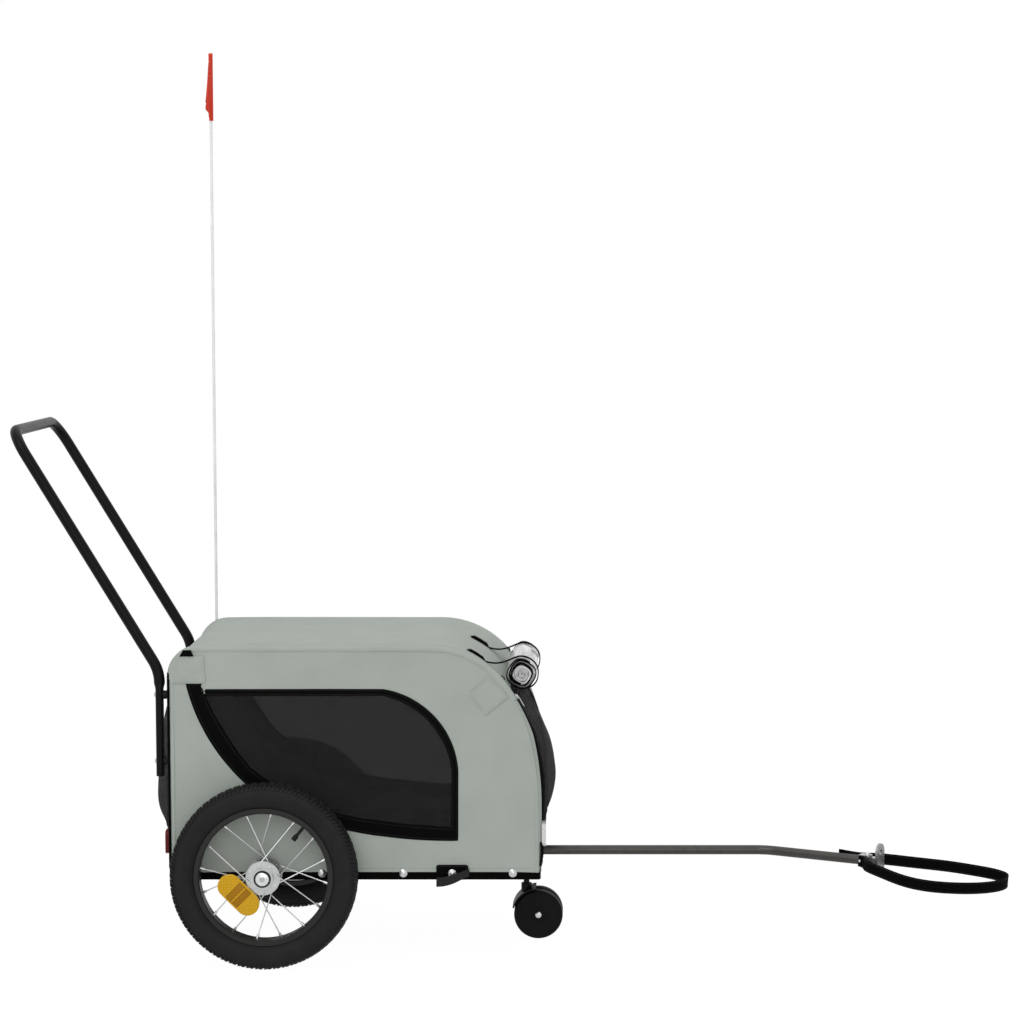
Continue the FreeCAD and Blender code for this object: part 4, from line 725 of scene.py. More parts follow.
finish_of_nodes = {
    rim_paint: ("right_rim", "left_rim"),
    tube_rubber: ("right_inner_tube", "left_inner_tube"),
    hub_chrome: ("right_hub", "left_hub"),
    spoke_steel: ("right_spokes", "left_spokes"),
    button_steel: ("right_release_button", "left_release_button"),
    zinc_steel: ("wheel_axles", "drawbar_lock_pin", "hitch_yoke", "hitch_swivel", "hitch_pitch_pin",
                 "hitch_yaw_pin", "strap_rivets"),
    bearing_steel: ("hub_bearings",),
    frame_paint: ("right_side_rail", "left_side_rail", "cross_tubes", "axle_tube", "cabin_hoops",
                  "drawbar_receiver", "caster_bracket"),
    board_ply: ("floor_board",),
    handle_paint: ("handle_tube",),
    bolt_steel: ("handle_bolts", "rail_screws", "caster_axle_bolt"),
    spacer_plastic: ("handle_spacers",),
    white_prism: ("front_reflectors",),
    red_prism: ("rear_reflectors",),
    holder_plastic: ("flag_holder",),
    pole_fibre: ("flag_pole",),
    drawbar_paint: ("drawbar",),
    plate_steel: ("hitch_plate",),
    caster_plastic: ("caster_housing",),
}
for material, names in finish_of_nodes.items():
    for name in names:
        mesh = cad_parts[name].data
        mesh.materials.clear()
        mesh.materials.append(material)


# ---- Cabin outline ----

CABIN_REAR, CABIN_FRONT = -156.0, 448.0
CABIN_LOW, CABIN_HIGH = 151.0, 523.5
CABIN_LENGTH, CABIN_HEIGHT = CABIN_FRONT - CABIN_REAR, CABIN_HIGH - CABIN_LOW
REAR_CORNER = 48.0
NOSE_TURNS = (50.0, 77.0, 90.0)
NOSE_RADII = (150.12, 239.89, 499.9)
HALF_WIDTH = 202.0
DOOR_HALF = 160.0


def cabin_profile():
    """Marks (distance, x, z, turn) from the rear foot over the roof to the front foot.

    Turn is that of the outward direction, from -90 at the rear over 0 on the roof to 90 at the front.
    """
    marks = [(0.0, CABIN_REAR, CABIN_LOW, -90.0)]

    def run(x, z, turn):
        distance = math.hypot(x - marks[-1][1], z - marks[-1][2])
        marks.append((marks[-1][0] + distance, x, z, turn))

    def bend(radius, start, end):
        _, x, z, _ = marks[-1]
        cx, cz = x - radius * sine(start), z - radius * cosine(start)
        for turn in spaced(start, end, int(abs(end - start)))[1:]:
            run(cx + radius * sine(turn), cz + radius * cosine(turn), turn)

    run(CABIN_REAR, CABIN_HIGH - REAR_CORNER, -90.0)
    bend(REAR_CORNER, -90.0, 0.0)
    run(CABIN_FRONT - nose_run(), CABIN_HIGH, 0.0)
    before = 0.0
    for radius, turn in zip(NOSE_RADII, NOSE_TURNS):
        bend(radius, before, turn)
        before = turn
    run(CABIN_FRONT, CABIN_LOW, 90.0)
    return marks


def nose_run():
    total, before = 0.0, 0.0
    for radius, turn in zip(NOSE_RADII, NOSE_TURNS):
        total += radius * (sine(turn) - sine(before))
        before = turn
    return total


PROFILE = cabin_profile()
PROFILE_MARKS = [mark[0] for mark in PROFILE]
PROFILE_END = PROFILE_MARKS[-1]


def on_profile(s):
    """(x, z, turn) at a distance along the cabin's outline."""
    s = min(max(s, 0.0), PROFILE_END - 1e-6)
    i = bisect.bisect_right(PROFILE_MARKS, s) - 1
    one, two = PROFILE[i], PROFILE[i + 1]
    share = (s - one[0]) / (two[0] - one[0])
    return tuple(a + (b - a) * share for a, b in zip(one[1:], two[1:]))


def mark_of_turn(turn):
    """Distance along the outline at which it has turned so far down the nose."""
    for one, two in zip(PROFILE, PROFILE[1:]):
        if one[3] >= 0 and two[3] >= turn and two[3] > one[3]:
            return one[0] + (two[0] - one[0]) * (turn - one[3]) / (two[3] - one[3])
    return PROFILE_END


REAR_SEAM = CABIN_HIGH - REAR_CORNER - CABIN_LOW
ROOF_START = REAR_SEAM + REAR_CORNER * math.pi / 2
ROOF_END = ROOF_START + CABIN_FRONT - nose_run() - (CABIN_REAR + REAR_CORNER)
DOOR_TOP = mark_of_turn(60.0)
NOSE_END = mark_of_turn(90.0)
SAG_KNOTS = ((ROOF_START - 30, 0.0), (ROOF_START + 40, 0.14), (ROOF_END, 0.5), (mark_of_turn(25), 0.85),
             (mark_of_turn(50), 0.9), (DOOR_TOP, 0.75), (mark_of_turn(77), 0.0))
REAR_SAG_KNOTS = ((REAR_SEAM + 4, 0.0), (REAR_SEAM + 20, 0.5), (ROOF_START - 36, 1.0),
                  (ROOF_START - 10, 0.95), (ROOF_START + 30, 0.4), (ROOF_START + 80, 0.0))
NOSE_SAG, REAR_SAG = 18.0, 6.4
EDGE_START, EDGE_RADIUS = 194.0, 7.0


def roof_sag(y, s):
    """How far the cloth hangs in between the two side arches."""
    share = min(abs(y), HALF_WIDTH) / HALF_WIDTH
    rear = REAR_SAG * (1 - share ** 6) * through(REAR_SAG_KNOTS, s)
    return NOSE_SAG * (1 - share ** 2) * through(SAG_KNOTS, s) + rear


def over_edge(d, lift):
    """(y, height) of the cloth where it rolls over the side arch, d from the middle plane."""
    side = 1 if d >= 0 else -1
    d = abs(d)
    if d <= EDGE_START:
        return side * d, lift
    turn = (d - EDGE_START) / EDGE_RADIUS
    if turn <= math.pi / 2:
        reach = EDGE_RADIUS + lift
        return side * (EDGE_START + reach * math.sin(turn)), reach * math.cos(turn) - EDGE_RADIUS
    down = d - EDGE_START - EDGE_RADIUS * math.pi / 2
    return side * (EDGE_START + EDGE_RADIUS + lift), -EDGE_RADIUS - down


def ripple(p, q, size, seed):
    """Soft random unevenness of cloth, about -1 to 1."""
    return 2.0 * noise.noise(Vector((p / size, q / size, seed)))


def skin(d, s, lift):
    """Place of the cabin's end and roof cloth: d across from the middle, s along the outline."""
    y, height = over_edge(d, lift * (1 - 0.48 * min(1.0, max(0.0, (abs(d) - 199) / 6))))
    x, z, turn = on_profile(s)
    height += ripple(d, s, 90.0, 3.7) * 0.7 * max(0.0, 1 - abs(d) / 190) - roof_sag(y, s)
    return x + height * sine(turn), y, z + height * cosine(turn)


# ---- Roof ----

ROOF_LIFT, END_LIFT = 2.2, 1.1
EDGE_LINES = [EDGE_START + step for step in (0.0, 1.8, 3.7, 5.5, 7.3, 9.2, 10.4, 11.5)]
ACROSS = sorted([-d for d in EDGE_LINES] + EDGE_LINES + spaced(-186.0, 186.0, 46))


def hem_path(lift, d, start, end):
    """Path for a row of stitches that runs along the cabin's outline."""
    return [skin(d, s, lift) for s in spaced(start, end, int((end - start) / 6.0))]


def make_roof():
    along = spaced(REAR_SEAM - 7, DOOR_TOP - 1, 150)
    roof = hung("roof_cloth", len(ACROSS) - 1, len(along) - 1, lambda i, j: (ACROSS[i], along[j]),
                lambda d, s: skin(d, s, ROOF_LIFT), 1.1)
    done(roof, cabin_cloth)
    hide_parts("roof_panel")
    over_roof = ROOF_LIFT + 0.65
    rows = [stitched("roof_row", hem_path(over_roof, d, REAR_SEAM + 2, DOOR_TOP - 4))
            for d in (-203.4, -195.6, 195.6, 203.4)]
    rows += [stitched("roof_row", [skin(d, s, over_roof) for d in spaced(-190, 190, 60)])
             for s in (REAR_SEAM - 4, REAR_SEAM + 2, DOOR_TOP - 9)]
    seams = sewn("roof_stitches", rows, grey_thread)
    lip_rows = spaced(DOOR_TOP - 7, DOOR_TOP + 1, 4)
    lip = hung("roof_front_tape", 60, 4, lambda i, j: (-190.0 + 380.0 * i / 60, lip_rows[j]),
               lambda d, s: skin(d, s, ROOF_LIFT + 1.0), 0.9)
    done(lip, binding_tape)


# ---- Side panels and windows ----

HEM_SHARES = {
    "top_front": (0.578, 0.809), "bend": (0.712, 0.694), "side_top": (0.777, 0.451),
    "side_foot": (0.776, 0.145), "foot_middle": (0.675, 0.149), "foot_rear": (0.579, 0.164),
    "sweep": (0.385, 0.238), "low_rear": (0.212, 0.387), "rear_bend": (0.116, 0.572),
    "top_rear": (0.048, 0.836), "notch": (0.086, 0.836), "step": (0.089, 0.809),
}
NET_SHARES = {
    "top_front": (0.576, 0.787), "bend": (0.699, 0.676), "side_top": (0.764, 0.451),
    "side_foot": (0.762, 0.199), "foot_middle": (0.654, 0.209), "foot_rear": (0.555, 0.228),
    "sweep": (0.404, 0.285), "low_rear": (0.213, 0.467), "rear_bend": (0.148, 0.618),
    "top_rear": (0.095, 0.787),
}


def by_shares(shares):
    return CABIN_REAR + shares[0] * CABIN_LENGTH, CABIN_LOW + shares[1] * CABIN_HEIGHT


def arc_through(one, middle, two, steps):
    """Points on the circle through three points, from the first to the last."""
    (ax, ay), (bx, by), (cx, cy) = one, middle, two
    d = 2 * (ax * (by - cy) + bx * (cy - ay) + cx * (ay - by))
    squares = [p[0] ** 2 + p[1] ** 2 for p in (one, middle, two)]
    ux = (squares[0] * (by - cy) + squares[1] * (cy - ay) + squares[2] * (ay - by)) / d
    uy = (squares[0] * (cx - bx) + squares[1] * (ax - cx) + squares[2] * (bx - ax)) / d
    radius = math.hypot(ax - ux, ay - uy)
    start = math.atan2(ay - uy, ax - ux)
    via = (math.atan2(by - uy, bx - ux) - start) % math.tau
    sweep = (math.atan2(cy - uy, cx - ux) - start) % math.tau
    if via > sweep:
        sweep -= math.tau
    return [(ux + radius * math.cos(start + sweep * i / steps),
             uy + radius * math.sin(start + sweep * i / steps)) for i in range(steps + 1)]


def window_line(shares):
    """Outline of the window, piece by piece, with as many points for the hem as for the net."""
    p = {name: by_shares(value) for name, value in shares.items()}
    line = arc_through(p["top_front"], p["bend"], p["side_top"], 30)[:-1]
    line += between(p["side_top"], p["side_foot"], 16)
    line += arc_through(p["side_foot"], p["foot_middle"], p["foot_rear"], 16)[:-1]
    line += arc_through(p["foot_rear"], p["sweep"], p["low_rear"], 34)[:-1]
    line += arc_through(p["low_rear"], p["rear_bend"], p["top_rear"], 24)[:-1]
    corners = [p[name] for name in ("top_rear", "notch", "step", "top_front") if name in p]
    if len(corners) == 2:
        line += [corners[0]] * 8
    steps = (4, 4, 34) if len(corners) == 4 else (34,)
    for one, two, count in zip(corners, corners[1:], steps):
        line += between(one, two, count)
    return line


HEM_LINE, NET_LINE = window_line(HEM_SHARES), window_line(NET_SHARES)
WINDOW_MIDDLE = by_shares((0.46, 0.52))
HEM_HIGH = 158.0


def side_outline():
    """Outline of a side panel's cloth, under the rolled edge of the roof and end cloth."""
    outline = []
    for s in spaced(0.0, PROFILE_END, 150):
        x, z, turn = on_profile(s)
        outline.append((x - 3 * sine(turn), z - 3 * cosine(turn)))
    outline += [(CABIN_FRONT - 40, CABIN_LOW + 1), (60.0, CABIN_LOW + 1)]
    outline += [(13.0 * cosine(turn), 152.5 + 13.0 * sine(turn)) for turn in spaced(0, 180, 12)]
    outline += [(-60.0, CABIN_LOW + 1)]
    return outline


SIDES = ((-1, "near"), (1, "far"))


def side_cloth(side):
    return ["right_side_cloth" if side < 0 else "left_side_cloth"]


def side_out(x, z):
    """How far the side cloth is from the middle plane, with its faint unevenness."""
    bulge = 0.7 * ripple(x, z, 130.0, 2.3) + 0.3 * ripple(x, z, 34.0, 5.1)
    return 200.9 + bulge * min(1.0, max(0.0, (z - 160) / 40))


def make_side(name, side):
    """One side of the cabin: cloth with its window net, the black tape round it, and stitching."""
    panel_line = side_outline()

    def panel_surface(x, z):
        return x, side * side_out(x, z), z

    columns, rings, cut = ring_cut(panel_line, NET_LINE, WINDOW_MIDDLE, 260, 26, 3.0)
    panel = hung(name + "_side_cloth", columns, rings, cut, panel_surface, 1.1)
    done(panel, cabin_cloth)
    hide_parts(name + "_side_panel")

    columns, rings, cut = ring_cut(NET_LINE, None, WINDOW_MIDDLE, 150, 16)

    def net_surface(x, z):
        reach = math.hypot(x - WINDOW_MIDDLE[0], (z - WINDOW_MIDDLE[1]) * 1.6) / 240
        return x, side * (201.4 - 3.5 * max(0.0, 1 - reach ** 2) + 0.6 * ripple(x, z, 70.0, 9.0)), z

    net = hung(name + "_window_net", columns, rings, cut, net_surface, 0.5)
    done(net, window_net)
    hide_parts(name + "_window_mesh")

    count = len(HEM_LINE)

    def tape_cut(i, j):
        (ax, az), (bx, bz) = HEM_LINE[i % count], NET_LINE[i % count]
        share = min(max((j - 1) / 4, -0.02), 1.02)
        return ax + (bx - ax) * share, az + (bz - az) * share, 1.0 if 1 <= j <= 5 else 0.0

    def tape_surface(x, z, proud):
        return x, side * (side_out(x, z) - 0.7 + 0.9 * proud + 0.12 * ripple(x, z, 22.0, 2.0)), z

    tape = hung(name + "_window_tape", count, 6, tape_cut, tape_surface, 3.3)
    done(tape, binding_tape)

    def tape_path(share):
        pairs = list(zip(HEM_LINE, NET_LINE))
        middles = [(ax + (bx - ax) * share, az + (bz - az) * share)
                   for (ax, az), (bx, bz) in pairs + pairs[:1]]
        return [(x, side * (side_out(x, z) + 1.95), z) for x, z in middles]

    seams = sewn(name + "_window_stitches", [stitched("tape_row", tape_path(share), pitch=4.0, length=2.8)
                                             for share in (0.1, 0.9)], dark_thread)

    hem_x = [x for x in spaced(CABIN_REAR + 9, CABIN_FRONT - 9, 120) if x > 15]
    hem = stitched(name + "_hem_stitches",
                   [(x, side * (side_out(x, HEM_HIGH) + 0.65), HEM_HIGH) for x in hem_x])
    done(hem, grey_thread)
    window = cloth_area(NET_LINE)
    cloth_area(panel_line) - window
    strip_size(HEM_LINE, NET_LINE)
    return tape


# ---- Patches on the side cloth ----

REAR_PATCH_SHARES = ((0.023, 0.958), (0.094, 0.958), (0.099, 0.843), (0.088, 0.838), (0.046, 0.838),
                     (0.003, 0.838))
NOSE_PATCH_SHARES = ((0.862, 0.867), (0.914, 0.779), (0.853, 0.698), (0.811, 0.795))


def make_patches():
    patches, rows = [], []
    for side, name in SIDES:
        for which, shares, stand in (("corner", REAR_PATCH_SHARES, 2.2), ("nose", NOSE_PATCH_SHARES, 0.9)):
            outline = [by_shares(pair) for pair in shares]
            middle = tuple(sum(p[i] for p in outline) / len(outline) for i in (0, 1))
            columns, rings, cut = ring_cut(outline, None, middle, 56, 10)

            def patch_surface(x, z, outline=outline, middle=middle, stand=stand):
                angle = math.atan2(z - middle[1], x - middle[0])
                share = math.hypot(x - middle[0], z - middle[1]) / ray_reach(outline, middle, angle)
                lift = 0.9 + stand * math.cos(min(1.0, share) * math.pi / 2) + 0.25 * ripple(x, z, 14.0, 4.0)
                return x, side * (side_out(x, z) + 0.55 + lift), z

            patch = hung("patch_%s_%s" % (which, name), columns, rings, cut, patch_surface, 1.5)
            done(patch, cabin_cloth)
            border = [tuple(m + (c - m) * 0.86 for c, m in zip(corner, middle)) for corner in outline]
            path = [place for one, two in round_trip(border) for place in between(one, two, 12)]
            lifted = [patch_surface(x, z) for x, z in path + path[:1]]
            rows.append(stitched("patch_row", [(x, y + side * 0.8, z) for x, y, z in lifted],
                                 pitch=3.6, length=2.6))
            xs, zs = [p[0] for p in outline], [p[1] for p in outline]
            size = ((max(xs) - min(xs)) * MM, (max(zs) - min(zs)) * MM)
            cloth_area(outline)
            side_cloth(side)
            patches.append(patch)
    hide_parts("fabric_patches")
    sewn("patch_stitches", rows, grey_thread)


# Painted shade at each rear top corner, where the roof's flap folds over the side: x and z of its four
# corners
CORNER_SHADE_OUTLINE = ((-131.8, 517.4), (-118.6, 517.4), (-114.6, 507.4), (-137.6, 507.4))


def make_corner_shade_pieces():
    """Short black pieces on the edge over the rear patches, between roof and side: painted shade for the
    shadow in the gap where the roof's cloth folds over.
    """
    for side, name in SIDES:
        def corner_surface(i, j):
            share = i / 12
            (ax, az), (bx, bz), (cx, cz), (dx, dz) = CORNER_SHADE_OUTLINE
            top, foot = (ax + (bx - ax) * share, az), (dx + (cx - dx) * share, dz)
            along = j / 6
            x, z = top[0] + (foot[0] - top[0]) * along, top[1] + (foot[1] - top[1]) * along
            d = EDGE_START + 11.0 + (CABIN_HIGH - z - EDGE_RADIUS)
            y, height = over_edge(side * max(d, EDGE_START + 4.0), ROOF_LIFT + 1.2)
            return x, y, min(z, CABIN_HIGH + height) if d > EDGE_START + 11 else CABIN_HIGH + height

        # Painted shade: black tape cloth that stands in for the shadow in the fold's gap
        tape = hung("corner_shade_piece_" + name, 12, 6, lambda i, j: (i, j), corner_surface, 0.9)
        restep(tape, 2.0, 2.0)
        done(tape, binding_tape)


# ---- Front and rear cloth ----

def rounded_box(x0, x1, y0, y1, radius):
    """Rectangle with round corners, as an outline."""
    outline = []
    for cx, cy, start in ((x1 - radius, y1 - radius, 0), (x0 + radius, y1 - radius, 90),
                          (x0 + radius, y0 + radius, 180), (x1 - radius, y0 + radius, 270)):
        outline += [(cx + radius * cosine(start + turn), cy + radius * sine(start + turn))
                    for turn in (0, 18, 36, 54, 72, 90)]
    return outline


# Half width of the end cloths with the edges that turn under the sides, and of the bands over their foot
END_WIDE, BAND_WIDE = 205.5, 200.0


def end_cloth(name, node, start, end, door_start, door_end, notch):
    """Cloth of one end of the cabin, with the opening for its net door."""
    outline = [(-END_WIDE, start), (END_WIDE, start), (END_WIDE, end)]
    if notch:
        outline += [(16.0, end), (12.5, end - 9.0), (-12.5, end - 9.0), (-16.0, end)]
    outline += [(-END_WIDE, end)]
    opening = rounded_box(-DOOR_HALF - 1, DOOR_HALF + 1, door_start, door_end, 16.0)
    middle = (0.0, (door_start + door_end) / 2)
    columns, rings, cut = ring_cut(outline, opening, middle, 260, 14)
    cloth = hung(name, columns, rings, cut, lambda d, s: skin(d, s, END_LIFT), 1.0)
    done(cloth, cabin_cloth)
    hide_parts(node)
    rows = [stitched("end_row", hem_path(END_LIFT + 0.75, d, start + 6, end - 6)) for d in (-200.6, 200.6)]
    seams = sewn(name + "_stitches", rows, grey_thread)
    area = cloth_area(outline) - cloth_area(opening)
    return cloth


def hem_band(name, start, end, stand_knots):
    """Black band across the foot of an end cloth, standing off it by a little."""
    def stands(d, s, more):
        return skin(d, s, END_LIFT + through(stand_knots, s) + more)

    band = hung(name, 80, 12, lambda i, j: (BAND_WIDE * (i / 40 - 1), start + (end - start) * j / 12),
                lambda d, s: stands(d, s, 0.5 * ripple(d, s, 24.0, 1.0)), 1.0)
    done(band, binding_tape)
    rows = [stitched("band_row", [stands(d, s, 0.95) for d in spaced(-196, 196, 60)])
            for s in (start + 3, end - 3)]
    seams = sewn(name + "_stitches", rows, dark_thread)


TRIM_INNER, TRIM_WIDE = 188.0, 12.0


def make_rear_trims():
    """Black tape with a coil zip up both corners of the cabin's rear."""
    for side, name in SIDES:
        trim = hung("rear_trim_" + name, 6, 80,
                    lambda i, j: (side * (TRIM_INNER + TRIM_WIDE * i / 6), 6.0 + (REAR_SEAM - 2.0) * j / 80),
                    lambda d, s: skin(d, s, END_LIFT + 1.9 + 0.4 * ripple(d, s, 18.0, 2.0)), 1.3)
        done(trim, binding_tape)
        track = [skin(side * 198.4, s, END_LIFT + 3.4) for s in spaced(8, REAR_SEAM + 2, 80)]
        coil = stitched("rear_trim_coil_" + name, track, pitch=3.4, length=2.2, thread=1.0)
        done(coil, zip_coil)


# Share of the doors' bulge: along the outline for the front door, by height for the rear one
FRONT_DOOR_KNOTS = [(DOOR_TOP, 0.0)] + [(mark_of_turn(turn), share) for turn, share in (
    (66, 0.08), (71, 0.22), (77, 0.43), (79, 0.58), (81, 0.76), (84, 0.93), (86, 0.98), (88, 0.9))]
FRONT_DOOR_KNOTS += [(NOSE_END + down, share)
                     for down, share in ((0, 0.73), (14, 0.55), (27, 0.32), (40, 0.14))]
FRONT_DOOR_KNOTS += [(PROFILE_END - 52, 0.0)]
FRONT_BULGE, REAR_BULGE = 24.0, 40.0
REAR_DOOR_KNOTS = ((191.0, 0.0), (200.0, 0.50), (214.0, 0.80), (236.0, 1.06), (276.0, 1.09), (331.0, 1.0),
                   (385.0, 0.82), (430.0, 0.46), (470.5, 0.0))


def front_door_place(d, s, lift):
    """Place on the bulging front door, d across and s along the cabin's outline."""
    x, z, turn = on_profile(s)
    share = 1 - min(1.0, abs(d) / DOOR_HALF) ** 2
    height = lift - roof_sag(d, s) + FRONT_BULGE * share * through(FRONT_DOOR_KNOTS, s)
    height += 1.6 * share * ripple(d, s, 70.0, 6.0)
    return x + height * sine(turn), d, z + height * cosine(turn)


def rear_door_place(d, s, lift):
    """Place on the bulging rear door, d across and s above the cabin's lower edge."""
    z = CABIN_LOW + s
    share = 1 - min(1.0, abs(d) / DOOR_HALF) ** 2
    rise = through(REAR_DOOR_KNOTS, z)
    height = lift + REAR_BULGE * share * rise + 1.6 * share * rise * ripple(d, s, 70.0, 8.0)
    return CABIN_REAR - height, d, z


# How far the door's two rows of stitches are from its edge
DOOR_ROWS = (15.5, 18.5)


def make_door(name, node, body, place, start, end, closed_end):
    """Net door: bulging net, black tape frame, coil zip round three sides, and its slider."""
    half = DOOR_HALF - 1.0
    columns, rows_count = 64, 56
    net = hung(name + "_net", columns, rows_count,
               lambda i, j: (-half + 2 * half * i / columns, start + (end - start) * j / rows_count),
               lambda d, s: place(d, s, 1.2), 0.5)
    done(net, door_net, body)
    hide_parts(node)
    outer = rounded_box(-half, half, start, end, 14.0)
    inner = rounded_box(-half + 20, half - 20, start + 18, end - 20, 22.0)
    middle = (0.0, (start + end) / 2)
    count, rings, cut = ring_cut(outer, inner, middle, 220, 6)
    border = hung(name + "_frame_tape", count, rings, cut, lambda d, s: place(d, s, 2.2), 1.0)
    done(border, binding_tape, body)
    rows = []
    for shrink in DOOR_ROWS:
        loop = rounded_box(-half + shrink, half - shrink, start + shrink - 2, end - shrink, 22.0)
        dense = [spot for one, two in round_trip(loop)
                 for spot in between(one, two, max(1, int(math.dist(one, two) / 6)))]
        rows.append(stitched("door_row", [place(d, s, 2.95) for d, s in dense + dense[:1]]))
    stitches = join(name + "_stitches", rows)
    done(stitches, dark_thread, body)

    hinge_end = end if closed_end == "end" else start
    free_end = start if closed_end == "end" else end
    edge = half - 6.0
    inward = 6.0 if free_end < hinge_end else -6.0
    turn_at = 16.0 if free_end < hinge_end else -16.0
    bend = 16.0
    near_side = [(-edge, s) for s in spaced(hinge_end - turn_at * 0.6, free_end + turn_at + inward, 60)]
    near_side += [(-edge + bend - bend * cosine(turn), free_end + inward + turn_at * (1 - sine(turn)))
                  for turn in spaced(10, 80, 7)]
    far_side = [(edge - bend + bend * sine(turn), free_end + inward + turn_at * (1 - cosine(turn)))
                for turn in spaced(10, 80, 7)]
    far_side += [(edge, s) for s in spaced(free_end + turn_at + inward, hinge_end - turn_at * 0.6, 60)]
    across = [(d, free_end + inward) for d in spaced(-edge + bend, edge - bend, 50)]
    track = near_side + across + far_side
    teeth = stitched(name + "_zip_coil", [place(d, s, 3.1) for d, s in track],
                     pitch=2.4, length=1.5, thread=0.95)
    done(teeth, zip_coil, body)
    strip_size(outer, inner)

    pull_d, pull_s = -edge + 1.5, free_end - turn_at / 8
    spot = at(*place(pull_d, pull_s, 4.4))
    ahead = at(*place(pull_d, pull_s + turn_at, 4.4)) - spot
    out = at(*place(pull_d, pull_s, 8.4)) - spot
    slider = block("slider", Vector((-4.6, -3.4, -1.5)) * MM, Vector((4.6, 3.4, 1.7)) * MM, 1.1 * MM, 3)
    bridge = block("bridge", Vector((-3.0, -1.0, 1.2)) * MM, Vector((3.0, 1.0, 3.2)) * MM, 0.6 * MM)
    tongue = block("tongue", Vector((2.0, -2.6, 2.6)) * MM, Vector((20.0, 2.6, 3.8)) * MM, 0.5 * MM)
    open_mesh(tongue)
    choose(tongue, "FACE", lambda face: face.normal.z > 0.9 and face.calc_area() > 2e-5)
    bpy.ops.mesh.inset(thickness=0.9 * MM, depth=-0.4 * MM)
    close_mesh()
    pull = join(name + "_zip_slider", [slider, bridge, tongue])
    x_axis = ahead.normalized()
    z_axis = out.normalized()
    y_axis = z_axis.cross(x_axis).normalized()
    x_axis = y_axis.cross(z_axis)
    turn = Matrix((x_axis, y_axis, z_axis)).transposed().to_4x4()
    pull.data.transform(Matrix.Translation(spot) @ turn)
    smooth(pull)
    done(pull, bolt_steel, body)


# ---- Rolled rain cover ----

ROLL_X, ROLL_Z = 416.6, 467.1
ROLL_HALF = 122.0
TAPE_WIDE = 10.0
# Winding of the roll: turns from its middle, and its radius there
ROLL_TURNS = ((0.0, 1.6), (1.0, 3.6), (2.0, 5.8), (3.0, 8.1), (4.0, 10.4), (5.0, 12.6), (6.0, 14.8),
              (6.3, 16.4), (6.8, 17.4), (7.2, 18.2), (7.5, 20.4), (7.8, 22.6), (8.2, 23.8), (8.75, 24.3))
TAPE_START = 6.15


def spiral_line(start=0.0, steps=36):
    """Rolled sheet seen from its end: length along it from its middle, and place, from one turn on."""
    line, length, before = [], 0.0, None
    count = int(ROLL_TURNS[-1][0] * steps)
    for i in range(count + 1):
        turns = ROLL_TURNS[-1][0] * i / count
        angle = math.tau * turns + math.radians(35)
        radius = through(ROLL_TURNS, turns) * (1 + 0.045 * math.cos(4 * angle + 0.9) * min(1.0, turns / 6))
        place = ROLL_X + radius * math.cos(angle), ROLL_Z - radius * math.sin(angle)
        length += math.dist(place, before) if before else 0.0
        before = place
        if turns >= start:
            line.append((length, *place))
    return line


def make_roll():
    """Rolled clear sheet with black tape along both its ends, on the turns that were rolled last."""
    def wound(line):
        marks = [point[0] for point in line]

        def surface(p, d):
            _, x, z = line[min(bisect.bisect_left(marks, p), len(line) - 1)]
            out = Vector((x - ROLL_X, z - ROLL_Z)).normalized()
            slack = 0.5 * ripple(p * 0.6, d, 38.0, 7.0)
            return x + out.x * slack, d, z + out.y * slack
        return marks, surface

    marks, roll_surface = wound(spiral_line())
    half = ROLL_HALF - 1.0
    film = hung("rain_cover_film", len(marks) - 1, 40, lambda i, j: (marks[i], -half + 2 * half * j / 40),
                roll_surface, 1.4)
    done(film, clear_film)
    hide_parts("rain_cover_roll")
    tape_marks, tape_surface = wound(spiral_line(TAPE_START))
    for name, start, end in (("near", -ROLL_HALF, -ROLL_HALF + TAPE_WIDE),
                             ("far", ROLL_HALF - TAPE_WIDE, ROLL_HALF)):
        tape = hung("rain_cover_tape_" + name, len(tape_marks) - 1, 3,
                    lambda i, j, start=start, end=end: (tape_marks[i], start + (end - start) * j / 3),
                    tape_surface, 1.7)
        done(tape, binding_tape)
    make_ties()


TIE_ROUTE = (
    (340.0, 491.6), (348.2, 486.9), (359.4, 483.7), (368.2, 482.2), (377.0, 482.2), (385.7, 484.0),
    (394.8, 487.2), (404.0, 491.1), (412.7, 493.6), (421.5, 493.0), (430.3, 489.2), (437.6, 483.0),
    (442.2, 475.0), (443.4, 464.0), (440.8, 452.6), (434.0, 444.4), (425.0, 440.6),
)


